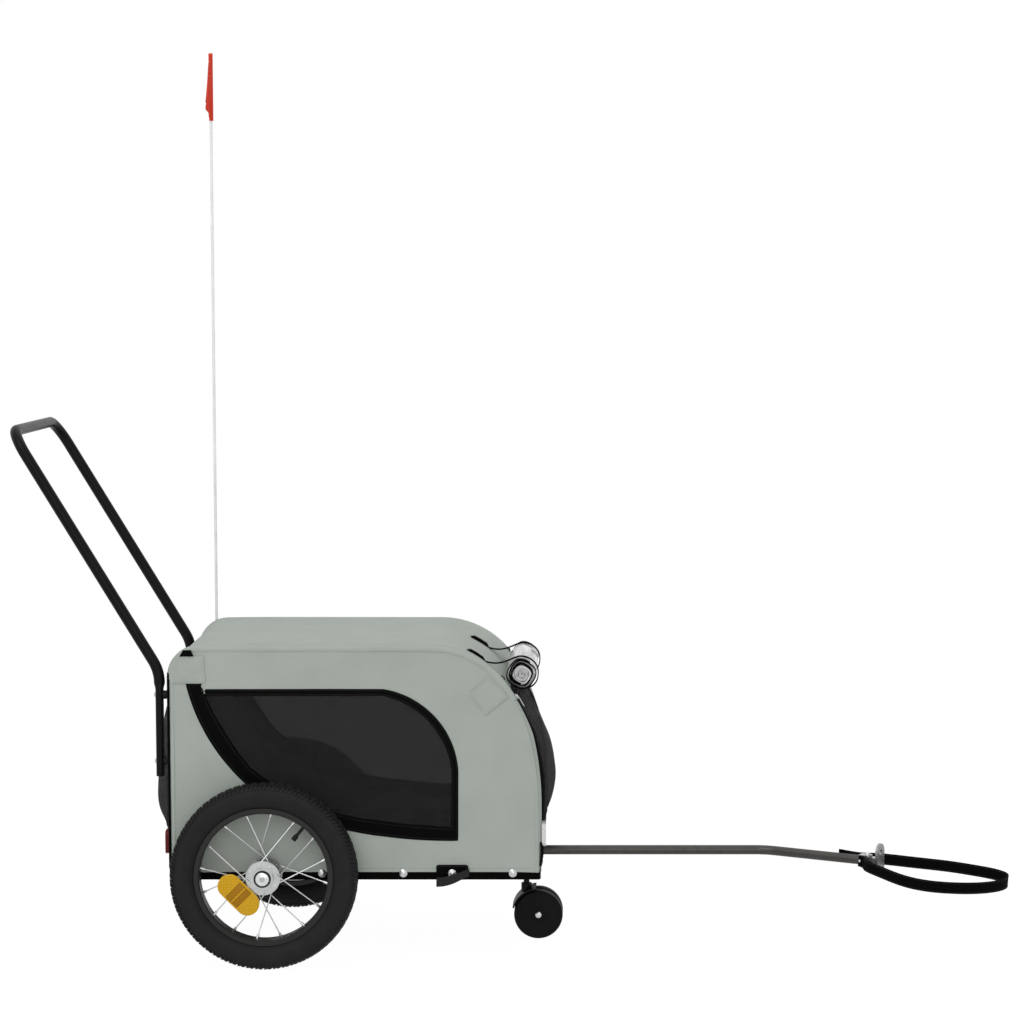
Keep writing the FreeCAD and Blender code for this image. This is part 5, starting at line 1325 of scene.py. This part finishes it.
def make_ties():
    """Two straps that hold the roll: a folded root sewn on the roof, and a thin strap over the roll."""
    ties, rows = [], []
    route = smooth_line(TIE_ROUTE, 80)
    for name, y in (("near", -92.0), ("far", 92.0)):
        strap = hung("rain_cover_tie_" + name, 80, 3,
                     lambda i, j, y=y: (route[i][0], y - 4.0 + 8.0 * j / 3, route[i][1]),
                     lambda x, d, z: (x, d, z), 1.9)
        done(strap, binding_tape)
        if name == "near":
            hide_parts("rain_cover_ties")
        start, end = mark_of_turn(22.5), mark_of_turn(36.8)
        layers = []
        for lift, back in ((1.6, 0.0), (2.9, 2.0), (4.2, 5.0)):
            steps = spaced(start + back, end - back, 20)
            layers.append(hung("root_layer", 20, 4, lambda i, j, steps=steps: (y - 5.0 + 2.5 * j, steps[i]),
                               lambda d, s, lift=lift: skin(d, s, ROOF_LIFT + lift), 1.15))
        loop_start, loop_long = mark_of_turn(48.8), 8.4
        layers.append(hung(
            "cover_loop", 6, 8,
            lambda i, j: (math.copysign(183.0 + 0.9 * i, y), loop_start + loop_long * j / 8),
            lambda d, s: skin(d, s, ROOF_LIFT + 1.6 + 1.8 * math.sin(math.pi * (s - loop_start) / loop_long)),
            1.3))
        root = join("rain_cover_tie_root_" + name, layers)
        done(root, binding_tape)
        ties += [strap, root]
        box = [(y - 3.6, start + 4), (y + 3.6, start + 4), (y + 3.6, start + 22), (y - 3.6, start + 22)]
        cross = box + [box[0], box[2], box[1], box[3]]
        path = [place for one, two in zip(cross, cross[1:]) for place in between(one, two, 5)]
        rows.append(stitched("root_row", [skin(d, s, ROOF_LIFT + 5.0) for d, s in path],
                             pitch=2.6, length=1.9))
    ties.append(sewn("tie_stitches", rows, dark_thread))
    return ties


# ---- Flag ----

# How far the flag swings out of its plane, by the height down from its top
FLAG_SWING = ((0.0, 0.5), (30.0, 2.0), (60.0, 3.6), (85.0, 5.8), (97.0, 7.6), (104.0, 6.6), (111.0, 7.0),
              (117.0, 3.0))
FLAG_AIM = 0.112
FLAG_TOP, FLAG_FOOT = 1509.5, 1393.5
POLE_X, POLE_Y, SLEEVE_RADIUS = -129.0, 207.0, 3.5


def make_flag():
    """Pennant whose sleeve wraps the pole, hanging in soft folds towards the cabin."""
    sleeve, reach = 21.5, 150.0
    across = spaced(-sleeve, 0.0, 18) + spaced(2.0, reach, 64)

    def cut(i, j):
        p = across[i]
        drop = 35.0 * max(0.0, p) / 155.0
        return p, FLAG_FOOT + drop + (FLAG_TOP - FLAG_FOOT - 2 * drop) * j / 40

    def surface(p, z):
        if p <= 0:
            angle = p / SLEEVE_RADIUS
            return POLE_X + SLEEVE_RADIUS * math.cos(angle), POLE_Y - SLEEVE_RADIUS * math.sin(angle), z
        share = p / reach
        swing = through(FLAG_SWING, FLAG_TOP - z) * math.sin(min(1.0, p / 90) * math.pi * 0.5)
        fold = 1.1 * math.sin(p / 9.0 + z / 30.0) * min(1.0, p / 25) * min(1.0, (FLAG_TOP - z) / 70)
        lean = SLEEVE_RADIUS * (1 - min(1.0, p / 20)) + FLAG_AIM * p - swing + fold
        return POLE_X + lean, POLE_Y - p * math.sqrt(1 - FLAG_AIM ** 2), z - 3.0 * share ** 2

    flag = hung("flag_pennant", len(across) - 1, 40, cut, surface, 0.45)
    done(flag, flag_cloth)
    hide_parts("flag")
    seam = join("flag_stitches", [stitched("flag_row", [surface(5.0, z) for z in spaced(1397.0, 1506.0, 40)],
                                           pitch=3.4, length=2.4)])
    done(seam, flag_cloth)


# ---- Webbing: side tabs and the safety strap ----

TONGUE_HEIGHTS = ((277.0, 137.4), (291.0, 138.6), (306.0, 142.6), (317.0, 147.0), (325.0, 150.2),
                  (332.0, 151.6))
TONGUE_SHARES = ((277.0, 1.0), (306.0, 0.96), (324.0, 0.82), (332.0, 0.78))
TONGUE_STEPS = 40


def make_tabs():
    bases, rows = [], []
    for side, name in SIDES:
        outline = rounded_box(278.0, 330.0, 139.4, 164.0, 2.0)
        columns, rings, cut = ring_cut(outline, None, (304.0, 151.0), 60, 6)
        base = hung("tab_base_" + name, columns, rings, cut, lambda x, z: (x, side * 202.5, z), 0.9)
        done(base, binding_tape)
        side_cloth(side)
        bases.append(base)
        route = smooth_line([(329.0, 203.4), (331.4, 207.0), (320.0, 212.4), (304.0, 214.6), (298.0, 214.9),
                             (286.0, 214.2), (278.5, 213.6)], TONGUE_STEPS)
        total = length_of(route)
        tongue = hung("tab_webbing_" + name, TONGUE_STEPS, 6,
                      lambda i, j: (i, -7.6 + 15.2 * j / 6),
                      lambda i, across: (route[int(i)][0], side * route[int(i)][1],
                                         through(TONGUE_HEIGHTS, route[int(i)][0])
                                         + across * through(TONGUE_SHARES, route[int(i)][0])), 1.6)
        restep(tongue, total / TONGUE_STEPS)
        done(tongue, tab_webbing)
        path = [(x, 161.5) for x in spaced(280.5, 327.5, 20)] + [(x, 141.6) for x in spaced(327.5, 280.5, 20)]
        rows.append(stitched("tab_row", [(x, side * 203.1, z) for x, z in path], pitch=3.2, length=2.3))
    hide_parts("webbing_tabs")
    sewn("tab_stitches", rows, dark_thread)


DRAWBAR_END = (983.0, -86.07, 149.0)
HITCH_TURN = 29.2
STRAP_WIDE, STRAP_REACH, STRAP_STEPS = 19.0, 250.0, 260
STRAP_SHARES = (
    (0.0, 0.06), (0.09, 0.124), (0.30, 0.19), (0.52, 0.254), (0.67, 0.272), (0.835, 0.27),
    (0.945, 0.222), (0.998, 0.12), (0.993, -0.017), (0.927, -0.16), (0.827, -0.268),
    (0.69, -0.35), (0.564, -0.371), (0.434, -0.338), (0.26, -0.24), (0.1, -0.135),
)


def make_strap():
    """Safety strap: webbing on edge from the drawbar's far side, round in a loop, to the near side."""
    ends = 9.3
    route = [(along * 44.0, ends + out * 2.0)
             for along, out in ((-1.0, 0), (-0.78, 0), (-0.56, 0), (-0.28, 0.5))]
    route += [(along * STRAP_REACH, across * STRAP_REACH) for along, across in STRAP_SHARES]
    route += [(along * 6.0, -ends - out * 2.0)
              for along, out in ((2.0, 3.1), (1.1, 0.5), (0.55, 0.1), (0.08, 0.1))]
    line = smooth_line(route, STRAP_STEPS)
    total = length_of(line)
    drop = math.atan2(18.0, STRAP_REACH)

    def strap_surface(i, height):
        along, across = line[int(i)]
        lean = 0.9 * ripple(i, height * 2, 60.0, 3.0)
        forward = along * math.cos(drop) + height * math.sin(drop)
        rise = height * math.cos(drop) - along * math.sin(drop)
        across += lean * height / 9.5 * min(1.0, max(0.0, along / 60))
        return (DRAWBAR_END[0] + forward * cosine(HITCH_TURN) + across * sine(HITCH_TURN),
                DRAWBAR_END[1] - forward * sine(HITCH_TURN) + across * cosine(HITCH_TURN),
                DRAWBAR_END[2] + rise)

    strap = hung("safety_strap_webbing", STRAP_STEPS, 8,
                 lambda i, j: (i, STRAP_WIDE * (j / 8 - 0.5)), strap_surface, 1.9)
    restep(strap, total / STRAP_STEPS)
    done(strap, strap_webbing)
    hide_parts("safety_strap")
    rows = []
    for height in (-7.4, 7.4):
        for out in (-1.05, 1.05):
            path = []
            for i in range(6, STRAP_STEPS - 5, 3):
                x, y, z = strap_surface(i, height)
                ax, ay, _ = strap_surface(i - 1, height)
                bx, by, _ = strap_surface(i + 1, height)
                side = Vector((-(by - ay), bx - ax)).normalized()
                path.append((x + side.x * out, y + side.y * out, z))
            rows.append(stitched("strap_row", path, pitch=4.2, length=3.0, thread=0.3))
    seams = join("safety_strap_stitches", rows)
    done(seams, dark_thread, slot="strap_webbing")


# ---- Wheels ----

WHEEL_MIDDLE, WHEEL_OUT = 152.5, 235.0
TYRE_SECTION = (
    (11.6, 106.2), (11.6, 112.9), (12.8, 113.6), (14.6, 114.6), (16.2, 116.2), (17.0, 117.8), (17.9, 118.2),
    (18.6, 119.4), (19.7, 121.6), (21.1, 126.0), (22.0, 131.0), (22.3, 135.0), (21.9, 139.4), (21.0, 142.6),
    (20.0, 145.0), (18.2, 147.4), (15.4, 149.2), (11.0, 150.4), (5.6, 150.9), (0.0, 151.0),
)
TYRE_INSIDE = ((8.2, 106.2), (8.2, 112.0), (15.0, 121.0), (18.8, 133.0), (14.0, 144.0), (0.0, 147.2))
LUG_OUTER = ((20.9, 143.9), (21.3, 145.2), (20.3, 147.9), (17.6, 150.1), (13.8, 151.6), (10.2, 152.1))
LUG_INNER = ((10.2, 150.0), (15.2, 148.6), (18.6, 146.0), (20.0, 143.6))
LUG_COUNT = 130
LUG_SLANT = 0.62
LUG_LENGTH = 4.2


def make_lug(centre, side):
    """One shoulder lug: its outline across the tyre, pulled out to its width."""
    outline = LUG_OUTER + LUG_INNER
    points = [centre + Vector((-LUG_LENGTH / 2 + LUG_SLANT * (radius - 148.0), side * out, radius)) * MM
              for out, radius in outline]
    lug = drawn("lug", points + points[:1])
    open_whole(lug)
    bpy.ops.mesh.edge_face_add()
    bpy.ops.mesh.extrude_region_move(TRANSFORM_OT_translate={"value": (LUG_LENGTH * MM, 0, 0)})
    close_welded()
    return lug


# Length, width and height of a block of the running surface
CROWN_BLOCK = Vector((8.6, 7.0, 2.0))


def crown_block(centre, out, turn):
    """One block of the running surface, tapered to its top, over the tyre's middle."""
    bpy.ops.mesh.primitive_cube_add(size=1)
    bpy.context.active_object.scale = CROWN_BLOCK * MM
    obj = added("crown_block")
    open_mesh(obj)
    choose(obj, "FACE", lambda face: face.normal.z > 0.9)
    bpy.ops.transform.resize(value=(0.86, 0.86, 1.0), center_override=(0, 0, 1.0 * MM))
    choose(obj, "FACE", lambda face: face.normal.z < -0.9)
    bpy.ops.mesh.delete(type="ONLY_FACE")
    close_mesh()
    return moved(obj, turn, "Z", centre + Vector((0.0, out, 151.45)) * MM)


def spun_round(obj, centre, count):
    """Copies of a tread piece, all round the wheel."""
    open_whole(obj)
    bpy.ops.mesh.spin(steps=count, angle=math.tau, center=centre, axis=(0, 1, 0), dupli=True)
    close_welded(0.000004, outward=False)
    return obj


def make_tyre(name, side):
    """Tyre: turned casing with its rim line, lugs over both shoulders, and blocks between them."""
    section = list(TYRE_SECTION) + [(-out, radius) for out, radius in reversed(TYRE_SECTION[:-1])]
    section += [(-out, radius) for out, radius in TYRE_INSIDE]
    section += list(reversed(TYRE_INSIDE[:-1])) + [section[0]]
    centre = at(0.0, side * WHEEL_OUT, WHEEL_MIDDLE)
    points = [centre + Vector((0.0, out, radius)) * MM for out, radius in section]
    casing = turned(name + "_casing", points, centre, (0, 1, 0), 144)
    lugs = spun_round(make_lug(centre, 1), centre, LUG_COUNT)
    far_lug = make_lug(centre, -1)
    far_lug.data.transform(Matrix.Translation(centre) @ Matrix.Rotation(math.pi / LUG_COUNT, 4, "Y")
                           @ Matrix.Translation(-centre))
    far_lugs = spun_round(far_lug, centre, LUG_COUNT)
    crown = join("crown", [crown_block(centre, out, turn) for out, turn in ((-5.0, 0.42), (5.0, -0.42))])
    crown = spun_round(crown, centre, LUG_COUNT // 2)
    tyre = join(name + "_tyre_with_tread", [casing, lugs, far_lugs, crown])
    smooth(tyre, 32)
    done(tyre, tyre_rubber, name + "_wheel")
    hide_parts(name + "_tyre")


# Sections of the axle's rubber ring and of its bright face: radius, and height over the axle's end
CAP_RING = ((11.3, -0.4), (11.3, 0.5), (11.8, 1.0), (12.9, 1.0), (13.6, 0.3), (13.9, -1.0), (13.9, -2.6),
            (12.7, -2.6), (12.7, -0.4))
CAP_DOME = ((0.0, 1.9), (4.2, 1.9), (4.9, 1.3), (5.4, 1.1), (7.8, 1.0), (9.6, 0.7), (10.8, 0.2), (11.6, -0.6),
            (0.0, -0.6))


def make_cap_ring(name, side):
    """Black rubber ring round the quick-release axle's bright head."""
    low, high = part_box("wheel_axles")
    face = max(abs(low.y), abs(high.y)) / MM
    centre = at(0.0, 0.0, WHEEL_MIDDLE)
    points = [centre + Vector((0.0, side * (face + out), radius)) * MM for radius, out in CAP_RING]
    ring = turned(name + "_cap_ring", points + points[:1], centre, (0, 1, 0), 72)
    smooth(ring, 40)
    done(ring, tube_rubber)
    points = [centre + Vector((0.0, side * (face + out), radius)) * MM for radius, out in CAP_DOME]
    cap = turned(name + "_cap_face", points, centre, (0, 1, 0), 72)
    smooth(cap, 40)
    done(cap, cap_chrome)


def make_wheel_reflector(name, side):
    """Amber capsule: domed body, ribbed ends and a flat middle panel, clipped on the spokes."""
    low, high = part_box(name + "_wheel_reflector")
    centre = (low + high) / 2
    depth = high.y - low.y
    half, straight = 19.5 * MM, 20.0 * MM
    bpy.ops.mesh.primitive_cylinder_add(vertices=48, radius=half, depth=depth * 0.78,
                                        rotation=(math.pi / 2, 0, 0))
    body = added("reflector_body")
    open_mesh(body)
    for end in (1, -1):
        choose(body, "VERT", lambda vert: vert.co.x * end > WELD)
        bpy.ops.transform.translate(value=(end * straight, 0, 0))
    choose(body, "FACE", lambda face: face.normal.y * side > 0.9)
    bpy.ops.mesh.inset(thickness=1.6 * MM, depth=0.9 * MM)
    bpy.ops.mesh.inset(thickness=1.0 * MM, depth=-0.5 * MM)
    close_mesh()
    front = side * depth * 0.39
    ribs = []
    for end in (-1, 1):
        for i in range(6):
            x = end * (15.5 + i * 3.5) * MM
            over = max(0.0, abs(x) - straight)
            reach = math.sqrt(max(0.0, (half - 2.6 * MM) ** 2 - over ** 2))
            if reach >= 3 * MM:
                ribs.append(block("rib", Vector((x - 1.15 * MM, front - 0.3 * MM, -reach)),
                                  Vector((x + 1.15 * MM, front + (side * 1.3 + 0.3) * MM, reach)), 0.5 * MM))
    panel = block("panel", Vector((-12.6 * MM, front - 0.4 * MM, -half + 2.8 * MM)),
                  Vector((12.6 * MM, front + (side * 1.2 + 0.4) * MM, half - 2.8 * MM)), 0.7 * MM)
    ribs.append(block("middle_rib", Vector((-0.8 * MM, front + (side * 0.6 - 1.0) * MM, -half + 3.6 * MM)),
                      Vector((0.8 * MM, front + (side * 0.6 + 1.0) * MM, half - 3.6 * MM)), 0.4 * MM))
    clips = []
    for x in (-14.0, 14.0):
        clips.append(block("clip", Vector(((x - 3.5) * MM, -side * depth * 0.5 - 1.0 * MM, -5.0 * MM)),
                           Vector(((x + 3.5) * MM, -side * depth * 0.3 + 1.0 * MM, 5.0 * MM)), 0.6 * MM, 1))
    turn = Matrix.Rotation(math.radians(45.0), 4, "Y")
    for group, label, material in (([body] + ribs + clips, "_reflector_shell", amber_prism),
                                   ([panel], "_reflector_panel", amber_panel)):
        piece = join(name + label, group)
        piece.data.transform(Matrix.Translation(centre) @ turn)
        smooth(piece, 40)
        done(piece, material, name + "_wheel")
        if label == "_reflector_shell":
            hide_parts(name + "_wheel_reflector")


# ---- Caster wheels and rail plugs ----

CASTER_AXLE = (442.0, 0.0, 41.5)
CASTER_SECTION = (
    (4.7, 4.2), (4.7, 36.0), (5.4, 39.6), (7.6, 41.2), (11.0, 41.5), (19.0, 41.5), (22.6, 41.0),
    (24.6, 39.0), (25.0, 36.4), (24.6, 35.6), (24.9, 34.6), (24.9, 13.0), (24.3, 12.2), (24.3, 9.0),
    (25.0, 8.2), (25.0, 4.2),
)


def make_casters():
    wheels = []
    for side in (-1, 1):
        centre = at(*CASTER_AXLE)
        section = [centre + Vector((0.0, side * out, radius)) * MM for out, radius in CASTER_SECTION]
        wheels.append(turned("caster_wheel", section + section[:1], centre, (0, 1, 0), 96))
    pair = join("caster_wheels_turned", wheels)
    smooth(pair, 32)
    done(pair, caster_tread, "caster_wheels")
    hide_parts("caster_wheels")


def make_rail_plugs():
    """Plastic plugs that close the four ends of the side rails."""
    plugs = []
    for side in (-1, 1):
        for x, way in ((-154.0, -1), (446.0, 1)):
            low, high = sorted((x, x + way * 2.6))
            inner, outer = sorted((side * 179.9, side * 199.5))
            plug = block("plug", at(low, inner, 139.2), at(high, outer, 163.8), 1.0 * MM)
            open_mesh(plug)
            choose(plug, "FACE", lambda face: face.normal.x * way > 0.95 and face.calc_area() > 1e-4)
            bpy.ops.mesh.inset(thickness=3.0 * MM, depth=-0.8 * MM)
            close_mesh()
            plugs.append(plug)
    done(join("rail_end_plugs", plugs), plug_plastic)


# ---- Floor pad ----

# The filling lifts the cover by no more than this
FILLING_SWELL = 4.5 * MM


def make_pad():
    """Loose floor pad: a filled cover, blown up a little by simulation, then quilted in rows."""
    low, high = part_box("floor_pad")
    shrink = Vector((7.0, 7.0, 2.5)) * MM
    pad = block("floor_cushion", low + shrink, high - shrink, 6.0 * MM, 3)
    apply(pad, "REMESH", mode="VOXEL", voxel_size=6.0 * MM)
    cloth = pad.modifiers.new("Filling", "CLOTH")
    cloth.settings.use_pressure = True
    cloth.settings.uniform_pressure_force = 4.0
    cloth.settings.effector_weights.gravity = 0.0
    cloth.settings.quality = 5
    before = [vert.co.copy() for vert in pad.data.vertices]
    for frame_number in range(1, 21):
        bpy.context.scene.frame_set(frame_number)
    alone(pad)
    bpy.ops.object.modifier_apply(modifier=cloth.name)
    for vert, start in zip(pad.data.vertices, before):
        move = vert.co - start
        if move.length > FILLING_SWELL:
            vert.co = start + move * (FILLING_SWELL / move.length)
    bpy.context.scene.frame_set(1)
    floor = low.z + 0.0003
    for vert in pad.data.vertices:
        across = (vert.co.y - low.y) / (high.y - low.y)
        if vert.co.z > (low.z + high.z) / 2:
            channel = abs((across * 5) % 1 - 0.5) * 2
            vert.co.z -= 3.2 * MM * max(0.0, channel - 0.82) / 0.18
        vert.co.z = max(vert.co.z, floor)
    apply(pad, "SUBSURF", levels=1, render_levels=1)
    bpy.ops.object.shade_smooth()
    done(pad, pad_cloth)
    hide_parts("floor_pad")


# ---- Making it all ----

make_roof()
tapes = [make_side(name, side) for name, side in (("right", -1), ("left", 1))]
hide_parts("window_bindings")
make_patches()
make_corner_shade_pieces()
end_cloth("front_cloth", "front_panel", DOOR_TOP - 1, PROFILE_END, DOOR_TOP + 2, PROFILE_END - 51, True)
end_cloth("rear_cloth", "rear_panel", 0.0, REAR_SEAM + 1, 40.0, REAR_SEAM - 4, False)
hem_band("front_hem_band", PROFILE_END - 50, PROFILE_END - 10,
         ((PROFILE_END - 50, 2.6), (PROFILE_END - 36, 3.6), (PROFILE_END - 20, 2.4), (PROFILE_END - 10, 1.2)))
hem_band("rear_hem_band", 1.0, 27.0, ((1.0, 1.1), (14.0, 1.5), (27.0, 1.1)))
make_rear_trims()
make_door("front_door", "front_door", "front_door", front_door_place, DOOR_TOP + 3, PROFILE_END - 52.5, "end")
make_door("rear_door", "rear_door", "rear_door", rear_door_place, 41.5, 318.5, "start")
make_roll()
make_flag()
make_tabs()
make_strap()
for name, side in (("right", -1), ("left", 1)):
    make_tyre(name, side)
    make_cap_ring(name, side)
    make_wheel_reflector(name, side)
make_casters()
make_rail_plugs()
make_pad()
